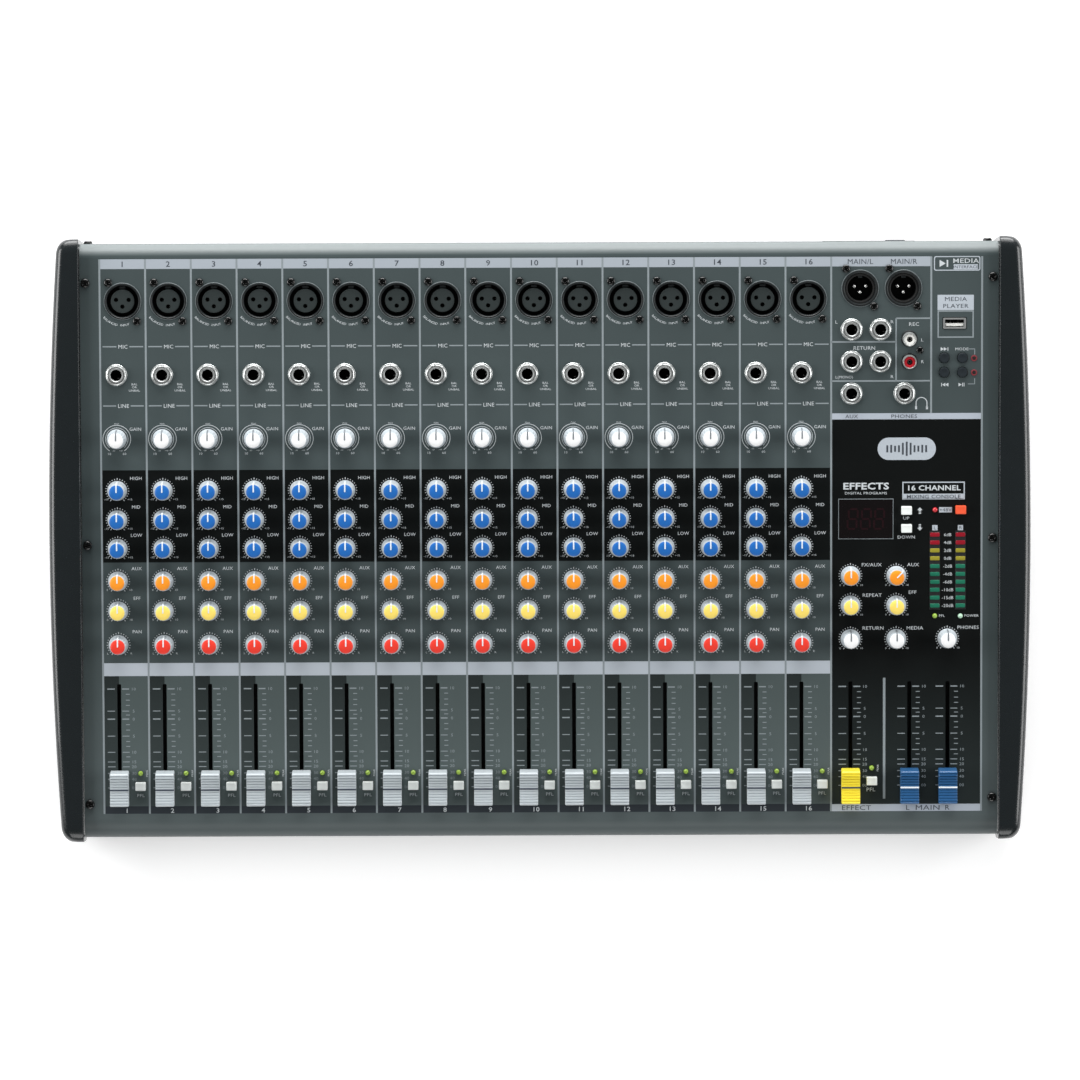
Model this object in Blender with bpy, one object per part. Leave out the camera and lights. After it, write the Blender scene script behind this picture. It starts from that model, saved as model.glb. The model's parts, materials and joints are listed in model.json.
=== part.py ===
"""A sixteen-channel audio mixing console: a sloping steel control panel between two moulded end cheeks.

X runs to the right along the channels, Y to the back, Z up. The origin is on the table, below the centre
of the console. Pieces on the control panel are placed in the panel's own plane: u runs to the right, v up
the slope towards the back, and w out of the panel, with w = 0 on its painted face.
"""

import math

import bmesh
import bpy
from mathutils import Matrix, Vector

# Overall size, in metres.
WIDTH = 0.594
DEPTH = 0.365
SLOPE = math.radians(6.0)
PANEL_HEIGHT = 0.0560
SHEET = 0.0015
GAP = 0.0003
ROUND = 10  # sides of a turned piece

# Console body.
PANEL_HALF_WIDTH = 0.2774
PANEL_HALF_DEPTH = 0.1800
REAR_BEND = 0.0080
FRONT_BEND = 0.0130
REAR_LIP = 0.0140
FRONT_LIP = 0.0050
CHEEK_INNER = PANEL_HALF_WIDTH + 0.0004
CHEEK_ENDS = 0.0130
CHEEK_MIDDLE = WIDTH / 2 - CHEEK_INNER
CHEEK_PROUD = 0.0060
CHEEK_WALL = 0.0025
CHEEK_EDGE = 0.0030
CHEEK_BOTTOM = 0.0070
FOOT_HEIGHT = 0.0080
FOOT_RADIUS = 0.0095
FOOT_X = 0.2350
FOOT_Y = 0.1500
FLOOR = FOOT_HEIGHT + GAP

# Channel strips.
CHANNELS = 16
STRIP = 0.0276
STRIPS_LEFT = -0.2653
COLUMN = 0.0096  # controls stand this far from their strip's left edge
MIC_COLUMN = STRIP / 2
MIC_ROW = 0.1458
LINE_ROW = 0.1012
KNOB_ROWS = {
    "gain": 0.0624,
    "high": 0.0311,
    "mid": 0.0133,
    "low": -0.0042,
    "aux": -0.0240,
    "effect": -0.0422,
    "pan": -0.0628,
}
BUTTON_COLUMN = 0.0222
BUTTON_ROW = -0.1494

# Slide faders: v of the cap's middle at the bottom of its travel, and the travel itself.
FADER_REST = -0.1506
FADER_TRAVEL = 0.0600
FADER_SLOT_WIDTH = 0.0024
FADER_SLOT_SPARE = 0.0033
LEVER_LENGTH = 0.0040
LEVER_WIDTH = 0.0012

# Master section.
MASTER_KNOBS = {
    "aux_return_knob": (0.1880, -0.0223, "orange"),
    "aux_master_knob": (0.2157, -0.0223, "orange"),
    "repeat_knob": (0.1880, -0.0403, "yellow"),
    "effect_master_knob": (0.2157, -0.0403, "yellow"),
    "return_knob": (0.1880, -0.0608, "white"),
    "player_level_knob": (0.2157, -0.0608, "white"),
    "phones_knob": (0.2467, -0.0606, "white"),
}
MASTER_FADERS = {
    "effect_fader": (0.1880, "fader_yellow"),
    "main_left_fader": (0.2237, "fader_blue"),
    "main_right_fader": (0.2469, "fader_blue"),
}
SQUARE_BUTTONS = {
    "pfl_button_1": (STRIPS_LEFT + BUTTON_COLUMN, BUTTON_ROW, "key_white"),
    "effect_pfl_button": (0.2010, -0.1476, "key_white"),
    "program_up_button": (0.2219, 0.0174, "key_white"),
    "program_down_button": (0.2219, 0.0065, "key_white"),
    "phantom_button": (0.2547, 0.0177, "key_orange"),
}
PLAYER_BUTTONS = {
    "player_next_button": (0.2446, 0.1099),
    "player_mode_button": (0.2556, 0.1099),
    "player_back_button": (0.2446, 0.1011),
    "player_play_button": (0.2556, 0.1011),
}
MAIN_OUTPUTS = ((0.1938, 0.1521), (0.2199, 0.1521))
MASTER_JACKS = (
    (0.1887, 0.1272),
    (0.2061, 0.1272),
    (0.1887, 0.1078),
    (0.2061, 0.1078),
    (0.1886, 0.0884),
    (0.2206, 0.0884),
)
PHONO_SOCKETS = ((0.2235, 0.1215), (0.2235, 0.1078))
MEDIA_SOCKET = (0.2508, 0.1308)
DISPLAY = (0.1973, 0.0122)
DISPLAY_SIZE = (0.0324, 0.0236)
METER_COLUMNS = (0.2391, 0.2546)
METER_SIZE = (0.0064, 0.0480)
METER_ROW = -0.0191

# Controls.
KNOB_RADIUS = 0.0054
KNOB_TOP_RADIUS = 0.0044
SKIRT_RADIUS = 0.0062
KNOB_HEIGHT = 0.0140
SHAFT_RADIUS = 0.0029
SHAFT_HOLE = 0.0036
KEY_SIZE = (0.0064, 0.0050)
KEY_HEIGHT = 0.0034
ROUND_KEY_RADIUS = 0.0031
ROUND_KEY_HEIGHT = 0.0016
FADER_CAP = (0.0112, 0.0226, 0.0100)

# Levels below the panel's painted face.
UNDERSIDE = -SHEET
CONTROL_BOARD = -0.0165
FADER_BOARD = -0.0135
SOCKET_BOARD = -0.0205
BOARD = 0.0016
SHAFT_END = -0.0085
KEY_END = -0.0080

# Sockets.
MIC_HOLE = 0.0114
MIC_SHELL = 0.0108
MIC_BORE = 0.0095
MIC_CORE = 0.0072
MIC_DEPTH = 0.0130
JACK_HOLE = 0.0049
JACK_BUSH = 0.0045
JACK_BORE = 0.0035
JACK_NUT = 0.0068
JACK_DEPTH = 0.0170
OUTPUT_CAVITY = 0.0082
PIN_RADIUS = 0.0012
PINS = ((-0.0035, 0.0011), (0.0035, 0.0011), (0.0, -0.0026))

# Mains inlet module, in the rear wall.
INLET_X = 0.2000
INLET_Z = 0.0330
INLET_SIZE = (0.0560, 0.0300)
INLET_CAVITY = (0.0240, 0.0165)
INLET_DEPTH = 0.0200
ROCKER_SIZE = (0.0120, 0.0190)
ROCKER_X = INLET_X + 0.0170
ROCKER_Y = PANEL_HALF_DEPTH - 0.0020
SOCKET_X = INLET_X - 0.0110
ROCKER_TILT = math.radians(10.0)

COLOURS = {
    # name: (red, green, blue, roughness, metallic)
    "panel_grey": (0.075, 0.088, 0.092, 0.45, 0.3),
    "tray_grey": (0.045, 0.050, 0.053, 0.50, 0.3),
    "cheek_grey": (0.022, 0.027, 0.031, 0.38, 0.0),
    "rubber_black": (0.012, 0.012, 0.012, 0.85, 0.0),
    "socket_black": (0.012, 0.013, 0.014, 0.40, 0.0),
    "jack_metal": (0.620, 0.620, 0.600, 0.30, 1.0),
    "board_green": (0.020, 0.110, 0.050, 0.50, 0.0),
    "smoked": (0.008, 0.006, 0.007, 0.12, 0.0),
    "power_brown": (0.200, 0.150, 0.060, 0.50, 0.0),
    "key_white": (0.760, 0.790, 0.760, 0.45, 0.0),
    "key_orange": (0.900, 0.150, 0.060, 0.45, 0.0),
    "key_black": (0.020, 0.022, 0.026, 0.45, 0.0),
    "white": (0.850, 0.850, 0.850, 0.45, 0.0),
    "blue": (0.020, 0.120, 0.550, 0.45, 0.0),
    "orange": (0.900, 0.320, 0.020, 0.45, 0.0),
    "yellow": (0.900, 0.720, 0.140, 0.45, 0.0),
    "red": (0.800, 0.040, 0.020, 0.45, 0.0),
    "fader_white": (0.500, 0.540, 0.580, 0.45, 0.0),
    "fader_yellow": (0.850, 0.640, 0.030, 0.45, 0.0),
    "fader_blue": (0.030, 0.110, 0.320, 0.45, 0.0),
}
ROW_COLOURS = {
    "gain": "white",
    "high": "blue",
    "mid": "blue",
    "low": "blue",
    "aux": "orange",
    "effect": "yellow",
    "pan": "red",
}


def clear_scene():
    """Removes whatever the scene holds."""
    for obj in list(bpy.data.objects):
        bpy.data.objects.remove(obj, do_unlink=True)


def finish(name):
    """The Principled material of that name in COLOURS, made once."""
    material = bpy.data.materials.get(name)
    if material is None:
        red, green, blue, roughness, metallic = COLOURS[name]
        material = bpy.data.materials.new(name)
        material.use_nodes = True
        shader = material.node_tree.nodes["Principled BSDF"]
        shader.inputs["Base Color"].default_value = (red, green, blue, 1.0)
        shader.inputs["Roughness"].default_value = roughness
        shader.inputs["Metallic"].default_value = metallic
    return material


def add_prism(shape, outline, low, high):
    """Adds a closed prism: the outline (u, v), anticlockwise, carried from w = low to w = high."""
    bottom = [shape.verts.new((u, v, low)) for u, v in outline]
    top = [shape.verts.new((u, v, high)) for u, v in outline]
    shape.faces.new(list(reversed(bottom)))
    shape.faces.new(top)
    for i in range(len(outline)):
        j = (i + 1) % len(outline)
        shape.faces.new((bottom[i], bottom[j], top[j], top[i]))


def rectangle(u, v, width, length):
    """The four corners of a rectangle around (u, v), anticlockwise."""
    a, b = width / 2, length / 2
    return [(u - a, v - b), (u + a, v - b), (u + a, v + b), (u - a, v + b)]


def circle(u, v, radius, sides):
    """A regular polygon around (u, v), anticlockwise, with a flat side towards v."""
    turns = [2 * math.pi * (i + 0.5) / sides for i in range(sides)]
    return [(u + radius * math.cos(t), v + radius * math.sin(t)) for t in turns]


def add_turned(shape, profile, sides, u=0.0, v=0.0):
    """Adds a closed turned solid: the profile (radius, w) runs from the axis at the bottom to the top."""
    rings = []
    for radius, w in profile:
        if radius == 0.0:
            rings.append([shape.verts.new((u, v, w))])
        else:
            rings.append([shape.verts.new((a, b, w)) for a, b in circle(u, v, radius, sides)])
    for below, above in zip(rings, rings[1:]):
        for i in range(sides):
            j = (i + 1) % sides
            if len(below) == 1:
                shape.faces.new((below[0], above[j], above[i]))
            elif len(above) == 1:
                shape.faces.new((below[i], below[j], above[0]))
            else:
                shape.faces.new((below[i], below[j], above[j], above[i]))


def place(name, shape, material, parent=None, at=(0.0, 0.0, 0.0)):
    """Makes the shape an object with that finish, under the parent."""
    mesh = bpy.data.meshes.new(name)
    shape.to_mesh(mesh)
    shape.free()
    obj = bpy.data.objects.new(name, mesh)
    bpy.context.scene.collection.objects.link(obj)
    obj.data.materials.append(finish(material))
    obj.parent = parent
    obj.location = at
    return obj


def helper(name, shape, parent):
    """A cutter or another solid that only a Boolean reads."""
    obj = place(name, shape, "key_black", parent)
    obj.hide_render = True
    obj.display_type = "WIRE"
    return obj


def boolean(obj, other, operation):
    """Joins the other solid to the object, or cuts it from the object."""
    modifier = obj.modifiers.new(other.name, "BOOLEAN")
    modifier.operation = operation
    modifier.solver = "EXACT"
    modifier.object = other


def channel_left(channel):
    """u of a channel strip's left edge; channels count from 1."""
    return STRIPS_LEFT + (channel - 1) * STRIP


def make_panel_plane():
    """The empty that carries everything on the sloping panel."""
    plane = bpy.data.objects.new("panel_plane", None)
    bpy.context.scene.collection.objects.link(plane)
    plane.location = (0.0, 0.0, PANEL_HEIGHT)
    plane.rotation_euler = (SLOPE, 0.0, 0.0)
    return plane


def knob_places():
    """Every rotary control: (name, u, v, colour), channel by channel and then the master section."""
    for channel in range(1, CHANNELS + 1):
        for row, v in KNOB_ROWS.items():
            yield f"{row}_knob_{channel}", channel_left(channel) + COLUMN, v, ROW_COLOURS[row]
    for name, (u, v, colour) in MASTER_KNOBS.items():
        yield name, u, v, colour


def fader_places():
    """Every slide fader: (name, u, colour)."""
    for channel in range(1, CHANNELS + 1):
        yield f"fader_{channel}", channel_left(channel) + COLUMN, "fader_white"
    for name, (u, colour) in MASTER_FADERS.items():
        yield name, u, colour


def fixed_key_places():
    """The listen buttons of channels 2 and up, which stay part of the fader board."""
    return [(channel_left(c) + BUTTON_COLUMN, BUTTON_ROW) for c in range(2, CHANNELS + 1)]


def line_places():
    """Where the channels' line jacks stand."""
    return [(channel_left(c) + COLUMN, LINE_ROW) for c in range(1, CHANNELS + 1)]


def mic_places():
    """Where the channels' microphone sockets stand."""
    return [(channel_left(c) + MIC_COLUMN, MIC_ROW) for c in range(1, CHANNELS + 1)]


def arc(centre, radius, start, end, steps):
    """Points (y, z) on an arc, with the angles in radians."""
    turns = [start + (end - start) * i / steps for i in range(steps + 1)]
    return [(centre[0] + radius * math.cos(t), centre[1] + radius * math.sin(t)) for t in turns]


def panel_section(inset):
    """The panel's bent section in (y, z), inset from its outer face, from the rear lip to the front lip.

    Each bend's centre lies its own radius inside the sloping face and inside the vertical lip.
    """
    rise, run = math.sin(SLOPE), math.cos(SLOPE)
    rear_y = PANEL_HALF_DEPTH - REAR_BEND
    rear_z = PANEL_HEIGHT + rear_y * rise / run - REAR_BEND / run
    front_y = -PANEL_HALF_DEPTH + FRONT_BEND
    front_z = PANEL_HEIGHT + front_y * rise / run - FRONT_BEND / run
    upright = math.pi / 2 + SLOPE
    section = [(PANEL_HALF_DEPTH - inset, rear_z - REAR_LIP)]
    section += arc((rear_y, rear_z), REAR_BEND - inset, 0.0, upright, 5)
    section += arc((front_y, front_z), FRONT_BEND - inset, upright, math.pi, 5)
    section += [(-PANEL_HALF_DEPTH + inset, front_z - FRONT_LIP)]
    return section


def add_bar(shape, section, left, right):
    """Adds a closed bar: the section (y, z), anticlockwise seen from +X, carried from left to right."""
    near = [shape.verts.new((left, y, z)) for y, z in section]
    far = [shape.verts.new((right, y, z)) for y, z in section]
    shape.faces.new(list(reversed(near)))
    shape.faces.new(far)
    for i in range(len(section)):
        j = (i + 1) % len(section)
        shape.faces.new((near[i], near[j], far[j], far[i]))


def make_top_panel(plane):
    """One folded sheet with its lips, pierced for every socket, shaft, lever and key."""
    shape = bmesh.new()
    section = panel_section(0.0) + list(reversed(panel_section(SHEET)))
    add_bar(shape, section, -PANEL_HALF_WIDTH, PANEL_HALF_WIDTH)
    panel = place("top_panel", shape, "panel_grey")

    holes = bmesh.new()
    low, high = -0.006, 0.006
    for u, v in [*mic_places(), *MAIN_OUTPUTS]:
        add_prism(holes, circle(u, v, MIC_HOLE, ROUND), low, high)
    for u, v in [*line_places(), *MASTER_JACKS, *PHONO_SOCKETS]:
        add_prism(holes, circle(u, v, JACK_HOLE, 8), low, high)
    for _, u, v, _ in knob_places():
        add_prism(holes, circle(u, v, SHAFT_HOLE, 6), low, high)
    slot_length = FADER_TRAVEL + LEVER_LENGTH + FADER_SLOT_SPARE
    for _, u, _ in fader_places():
        middle = FADER_REST + FADER_TRAVEL / 2
        add_prism(holes, rectangle(u, middle, FADER_SLOT_WIDTH, slot_length), low, high)
    keys = [(u, v) for u, v, _ in SQUARE_BUTTONS.values()]
    for u, v in [*keys, *fixed_key_places()]:
        width, length = (side + 2 * GAP for side in KEY_SIZE)
        add_prism(holes, rectangle(u, v, width, length), low, high)
    for u, v in PLAYER_BUTTONS.values():
        add_prism(holes, circle(u, v, ROUND_KEY_RADIUS + GAP, 8), low, high)
    add_prism(holes, rectangle(*MEDIA_SOCKET, 0.0146, 0.0074), low, high)
    display = [side + 2 * GAP for side in DISPLAY_SIZE]
    add_prism(holes, rectangle(*DISPLAY, *display), low, high)
    for u in METER_COLUMNS:
        add_prism(holes, rectangle(u, METER_ROW, METER_SIZE[0] + GAP, METER_SIZE[1] + GAP), low, high)
    boolean(panel, helper("panel_holes", holes, plane), "DIFFERENCE")


def make_base_tray():
    """The folded tray that everything stands in: a floor and four walls, with the inlet's cut-out."""
    half_x = PANEL_HALF_WIDTH - SHEET
    half_y = PANEL_HALF_DEPTH - SHEET - GAP
    rim = [
        (-half_y, wall_top(-half_y + SHEET)),
        (half_y, wall_top(half_y - SHEET)),
    ]
    shape = bmesh.new()
    add_bar(shape, [(-half_y, FLOOR), (half_y, FLOOR), rim[1], rim[0]], -half_x, half_x)
    tray = place("base_tray", shape, "tray_grey")
    inside = bmesh.new()
    far = half_y - SHEET
    add_bar(
        inside,
        [(-far, FLOOR + SHEET), (far, FLOOR + SHEET), (far, 0.12), (-far, 0.12)],
        -half_x + SHEET,
        half_x - SHEET,
    )
    boolean(tray, helper("tray_inside", inside, None), "DIFFERENCE")
    window = bmesh.new()
    width, height = (side - 0.0060 for side in INLET_SIZE)
    add_bar(
        window,
        [
            (far - 0.004, INLET_Z - height / 2),
            (half_y + 0.004, INLET_Z - height / 2),
            (half_y + 0.004, INLET_Z + height / 2),
            (far - 0.004, INLET_Z + height / 2),
        ],
        INLET_X - width / 2,
        INLET_X + width / 2,
    )
    boolean(tray, helper("inlet_window", window, None), "DIFFERENCE")


def wall_top(y):
    """Height of the tray's rim at y: just under the panel's sheet, and clear of its bends."""
    sheet_below = PANEL_HEIGHT + y * math.tan(SLOPE) - SHEET / math.cos(SLOPE)
    bend = REAR_BEND if y > 0 else FRONT_BEND
    return sheet_below - 0.7 * bend


def cheek_sections(inset, inner, stations):
    """Six-cornered sections (x, z) of an end cheek, from front to back, inset from its outer skin.

    The outer face bows out as a parabola of y, and near both ends it turns in on a quarter circle.
    The cheek's top follows the panel's slope, and its corners round off the same way.
    """
    half = DEPTH / 2 - inset
    corner = 0.0100
    sections = []
    for i in range(stations + 1):
        y = -half * math.cos(math.pi * i / stations)
        bow = 1.0 - (y / (DEPTH / 2)) ** 2
        x = CHEEK_INNER + CHEEK_ENDS + (CHEEK_MIDDLE - CHEEK_ENDS) * bow - inset
        past = max(0.0, abs(y) - (half - corner)) / corner
        turned = corner * (1.0 - math.sqrt(max(0.0, 1.0 - past * past)))
        low = CHEEK_BOTTOM + inset + 0.6 * turned
        high = PANEL_HEIGHT + y * math.tan(SLOPE) + CHEEK_PROUD - inset - 0.6 * turned
        x -= 0.5 * turned
        edge = CHEEK_EDGE
        outside = [(x - edge, low), (x, low + edge), (x, high - edge), (x - edge, high)]
        section = [(inner, low)] + outside + [(inner, high)]
        sections.append((y, section))
    return sections


def add_loft(shape, sections, side):
    """Adds a closed loft through the sections; side is 1 for the right and -1 for the left."""
    rings = [[shape.verts.new((side * x, y, z)) for x, z in section] for y, section in sections]
    faces = [list(reversed(rings[0])), rings[-1]]
    for front, back in zip(rings, rings[1:]):
        for i in range(len(front)):
            j = (i + 1) % len(front)
            faces.append([front[i], front[j], back[j], back[i]])
    for corners in faces:
        shape.faces.new(corners)
    bmesh.ops.recalc_face_normals(shape, faces=shape.faces)


def make_cheek(name, side):
    """A moulded end cheek, hollow on the side that faces the chassis."""
    shape = bmesh.new()
    add_loft(shape, cheek_sections(0.0, CHEEK_INNER, 16), side)
    cheek = place(name, shape, "cheek_grey")
    pocket = bmesh.new()
    add_loft(pocket, cheek_sections(CHEEK_WALL, CHEEK_INNER - 0.004, 10), side)
    boolean(cheek, helper(name + "_pocket", pocket, None), "DIFFERENCE")


def make_feet():
    """Four turned rubber feet, each with the recess for its own screw."""
    recess, depth = 0.0035, 0.0040
    profile = [
        (0.0, depth),
        (recess, depth),
        (recess, 0.0),
        (FOOT_RADIUS - 0.0020, 0.0),
        (FOOT_RADIUS, FOOT_HEIGHT),
        (0.0, FOOT_HEIGHT),
    ]
    for y_name, y in (("front", -FOOT_Y), ("rear", FOOT_Y)):
        for x_name, x in (("left", -FOOT_X), ("right", FOOT_X)):
            shape = bmesh.new()
            add_turned(shape, profile, 16)
            place(f"foot_{y_name}_{x_name}", shape, "rubber_black", None, (x, y, 0.0))


def board(name, centre, size, level, plane):
    """A circuit board: a flat plate whose top lies at that level."""
    shape = bmesh.new()
    add_prism(shape, rectangle(*centre, *size), level - BOARD, level)
    return place(name, shape, "board_green", plane)


def make_mic_sockets(plane):
    """The microphone input board: sixteen sockets, each a shell around a core that takes the plug's pins."""
    left = STRIPS_LEFT + 0.001
    right = channel_left(CHANNELS + 1) - 0.001
    centre = ((left + right) / 2, MIC_ROW)
    sockets = board("mic_socket_board", centre, (right - left, 0.0300), SOCKET_BOARD, plane)
    floor = -MIC_DEPTH
    profile = [
        (0.0, SOCKET_BOARD - 0.0008),
        (MIC_SHELL, SOCKET_BOARD - 0.0008),
        (MIC_SHELL, 0.0008),
        (MIC_BORE, 0.0008),
        (MIC_BORE, floor),
        (MIC_CORE, floor),
        (MIC_CORE, -0.0006),
        (0.0, -0.0006),
    ]
    shells = bmesh.new()
    for u, v in mic_places():
        add_turned(shells, profile, ROUND, u, v)
    boolean(sockets, helper("mic_shells", shells, plane), "UNION")


def jack_profile():
    """A jack socket, turned: its body on the board, the bush through the panel, the nut and the bore."""
    shoulder = UNDERSIDE - GAP
    return [
        (0.0, SOCKET_BOARD - 0.0008),
        (0.0070, SOCKET_BOARD - 0.0008),
        (0.0070, shoulder),
        (JACK_BUSH, shoulder),
        (JACK_BUSH, GAP),
        (JACK_NUT, GAP),
        (JACK_NUT, 0.0022),
        (JACK_BORE, 0.0026),
        (JACK_BORE, -JACK_DEPTH),
        (0.0, -JACK_DEPTH),
    ]


def make_line_jacks(plane):
    """The line input board with its sixteen jack sockets."""
    left = STRIPS_LEFT + 0.001
    right = channel_left(CHANNELS + 1) - 0.001
    centre = ((left + right) / 2, LINE_ROW)
    jacks = board("line_jack_board", centre, (right - left, 0.0200), SOCKET_BOARD, plane)
    bodies = bmesh.new()
    for u, v in line_places():
        add_turned(bodies, jack_profile(), ROUND, u, v)
    boolean(jacks, helper("line_jack_bodies", bodies, plane), "UNION")


def make_outputs(plane):
    """The master connector board: two male sockets with their pins, six jacks and two phono sockets."""
    outputs = board("output_board", (0.2070, 0.1238), (0.0560, 0.0800), SOCKET_BOARD, plane)
    bodies = bmesh.new()
    male = [
        (0.0, SOCKET_BOARD - 0.0008),
        (MIC_SHELL, SOCKET_BOARD - 0.0008),
        (MIC_SHELL, 0.0008),
        (OUTPUT_CAVITY, 0.0008),
        (OUTPUT_CAVITY, -MIC_DEPTH),
        (0.0, -MIC_DEPTH),
    ]
    phono = [
        (0.0, SOCKET_BOARD - 0.0008),
        (0.0060, SOCKET_BOARD - 0.0008),
        (0.0060, UNDERSIDE - GAP),
        (0.0042, UNDERSIDE - GAP),
        (0.0042, 0.0070),
        (0.0017, 0.0070),
        (0.0017, -0.0040),
        (0.0, -0.0040),
    ]
    for u, v in MAIN_OUTPUTS:
        add_turned(bodies, male, ROUND, u, v)
    for u, v in MASTER_JACKS:
        add_turned(bodies, jack_profile(), ROUND, u, v)
    for u, v in PHONO_SOCKETS:
        add_turned(bodies, phono, ROUND, u, v)
    boolean(outputs, helper("output_bodies", bodies, plane), "UNION")
    pins = bmesh.new()
    for u, v in MAIN_OUTPUTS:
        for pin_u, pin_v in PINS:
            outline = circle(u + pin_u, v + pin_v, PIN_RADIUS, 6)
            add_prism(pins, outline, -MIC_DEPTH - 0.001, -0.0010)
    boolean(outputs, helper("output_pins", pins, plane), "UNION")


def make_player_module(plane):
    """The media player's own board with its socket, whose tongue stands in the mouth."""
    u, v = MEDIA_SOCKET
    level = -0.0110
    module = board("player_module", (u + 0.0005, 0.1165), (0.0260, 0.0440), level, plane)
    shell = bmesh.new()
    add_prism(shell, rectangle(u, v, 0.0140, 0.0068), level - 0.0008, 0.0004)
    boolean(module, helper("media_shell", shell, plane), "UNION")
    mouth = bmesh.new()
    add_prism(mouth, rectangle(u, v, 0.0125, 0.0052), level + 0.0020, 0.0040)
    boolean(module, helper("media_mouth", mouth, plane), "DIFFERENCE")
    tongue = bmesh.new()
    add_prism(tongue, rectangle(u, v + 0.0008, 0.0105, 0.0018), level + 0.0010, -0.0008)
    boolean(module, helper("media_tongue", tongue, plane), "UNION")


def knob_profile(end):
    """A rotary control, turned: its shaft, skirt and tapered grip, from the shaft's end up."""
    return [
        (0.0, end),
        (SHAFT_RADIUS, end),
        (SHAFT_RADIUS, 0.0010),
        (SKIRT_RADIUS, 0.0010),
        (SKIRT_RADIUS, 0.0022),
        (KNOB_TOP_RADIUS, KNOB_HEIGHT),
        (0.0, KNOB_HEIGHT),
    ]


def is_jointed(name):
    """Channel 1 and the master section turn; the other channels' knobs belong to the board."""
    return name.endswith("_knob") or name.endswith("_knob_1")


def make_control_board(plane):
    """The board below all the rotary controls, with channels 2 and up on it as shafts and knobs."""
    controls = board("control_board", (0.0, 0.0), (0.5280, 0.1560), CONTROL_BOARD, plane)
    pots = bmesh.new()
    posts = bmesh.new()
    for name, u, v, _ in knob_places():
        if is_jointed(name):
            top = SHAFT_END - GAP
            add_prism(pots, rectangle(u, v, 0.0095, 0.0095), CONTROL_BOARD - 0.0008, top)
        else:
            add_prism(posts, circle(u, v, SHAFT_RADIUS, 4), CONTROL_BOARD - 0.0008, 0.0018)
    for u in METER_COLUMNS:
        low, high = CONTROL_BOARD - 0.0008, 0.0002
        add_prism(pots, rectangle(u, METER_ROW, METER_SIZE[0] - GAP, METER_SIZE[1] - GAP), low, high)
    knobs = bmesh.new()
    for name, u, v, _ in knob_places():
        if not is_jointed(name):
            grip = circle(u, v, KNOB_RADIUS, 6)
            add_prism(knobs, grip, 0.0010, KNOB_HEIGHT)
    boolean(controls, helper("control_pots", pots, plane), "UNION")
    boolean(controls, helper("control_posts", posts, plane), "UNION")
    boolean(controls, helper("control_knobs", knobs, plane), "UNION")


def make_fader_board(plane):
    """The fader board: a channelled track body under each slot, and the other channels' listen buttons."""
    centre = (0.0, FADER_REST + FADER_TRAVEL / 2 - 0.001)
    faders = board("fader_board", centre, (0.5280, 0.0880), FADER_BOARD, plane)
    tracks = bmesh.new()
    wall, bed = 0.0045, 0.0014
    top = UNDERSIDE - GAP
    low = FADER_BOARD - 0.0008
    length = FADER_TRAVEL + 0.0200
    for _, u, _ in fader_places():
        section = [
            (u - wall, low),
            (u + wall, low),
            (u + wall, top),
            (u + bed, top),
            (u + bed, FADER_BOARD + 0.0012),
            (u - bed, FADER_BOARD + 0.0012),
            (u - bed, top),
            (u - wall, top),
        ]
        add_track(tracks, section, centre[1] + 0.001 - length / 2, centre[1] + 0.001 + length / 2)
    boolean(faders, helper("fader_tracks", tracks, plane), "UNION")
    keys = bmesh.new()
    for u, v in fixed_key_places():
        add_prism(keys, rectangle(u, v, *KEY_SIZE), FADER_BOARD - 0.0008, KEY_HEIGHT)
    boolean(faders, helper("fixed_keys", keys, plane), "UNION")


def add_track(shape, section, front, back):
    """Adds a closed bar along v: the section (u, w), anticlockwise seen from the front."""
    near = [shape.verts.new((u, front, w)) for u, w in section]
    far = [shape.verts.new((u, back, w)) for u, w in section]
    shape.faces.new(near)
    shape.faces.new(list(reversed(far)))
    for i in range(len(section)):
        j = (i + 1) % len(section)
        shape.faces.new((near[i], far[i], far[j], near[j]))


def make_faders(plane):
    """Nineteen fader caps, each with the lever that passes through its slot. Their origin is at rest."""
    width, length, height = FADER_CAP
    low = 0.0012
    lift = low + height
    half = length / 2
    outline = [
        (-half, low),
        (half, low),
        (half - 0.0018, lift),
        (half - 0.0065, lift - 0.0009),
        (0.0, lift - 0.0026),
        (-half + 0.0065, lift - 0.0009),
        (-half + 0.0018, lift),
    ]
    for name, u, colour in fader_places():
        cap = bmesh.new()
        add_bar(cap, outline, -width / 2, width / 2)
        fader = place(name, cap, colour, plane, (u, FADER_REST, 0.0))
        lever = bmesh.new()
        add_prism(lever, rectangle(0.0, 0.0, LEVER_WIDTH, LEVER_LENGTH), FADER_BOARD + 0.0022, low + 0.003)
        boolean(fader, helper(name + "_lever", lever, fader), "UNION")


def make_knobs(plane):
    """The knobs that turn, each on its own shaft, with the origin on the shaft's axis."""
    for name, u, v, colour in knob_places():
        if is_jointed(name):
            shape = bmesh.new()
            add_turned(shape, knob_profile(SHAFT_END), ROUND)
            place(name, shape, colour, plane, (u, v, 0.0))


def make_keys(plane):
    """The push buttons that travel: square keys, and the player's round ones."""
    for name, (u, v, colour) in SQUARE_BUTTONS.items():
        shape = bmesh.new()
        add_prism(shape, rectangle(0.0, 0.0, *KEY_SIZE), KEY_END, KEY_HEIGHT)
        place(name, shape, colour, plane, (u, v, 0.0))
    for name, (u, v) in PLAYER_BUTTONS.items():
        shape = bmesh.new()
        add_prism(shape, circle(0.0, 0.0, ROUND_KEY_RADIUS, 8), -0.0085, ROUND_KEY_HEIGHT)
        place(name, shape, "key_black", plane, (u, v, 0.0))


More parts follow.
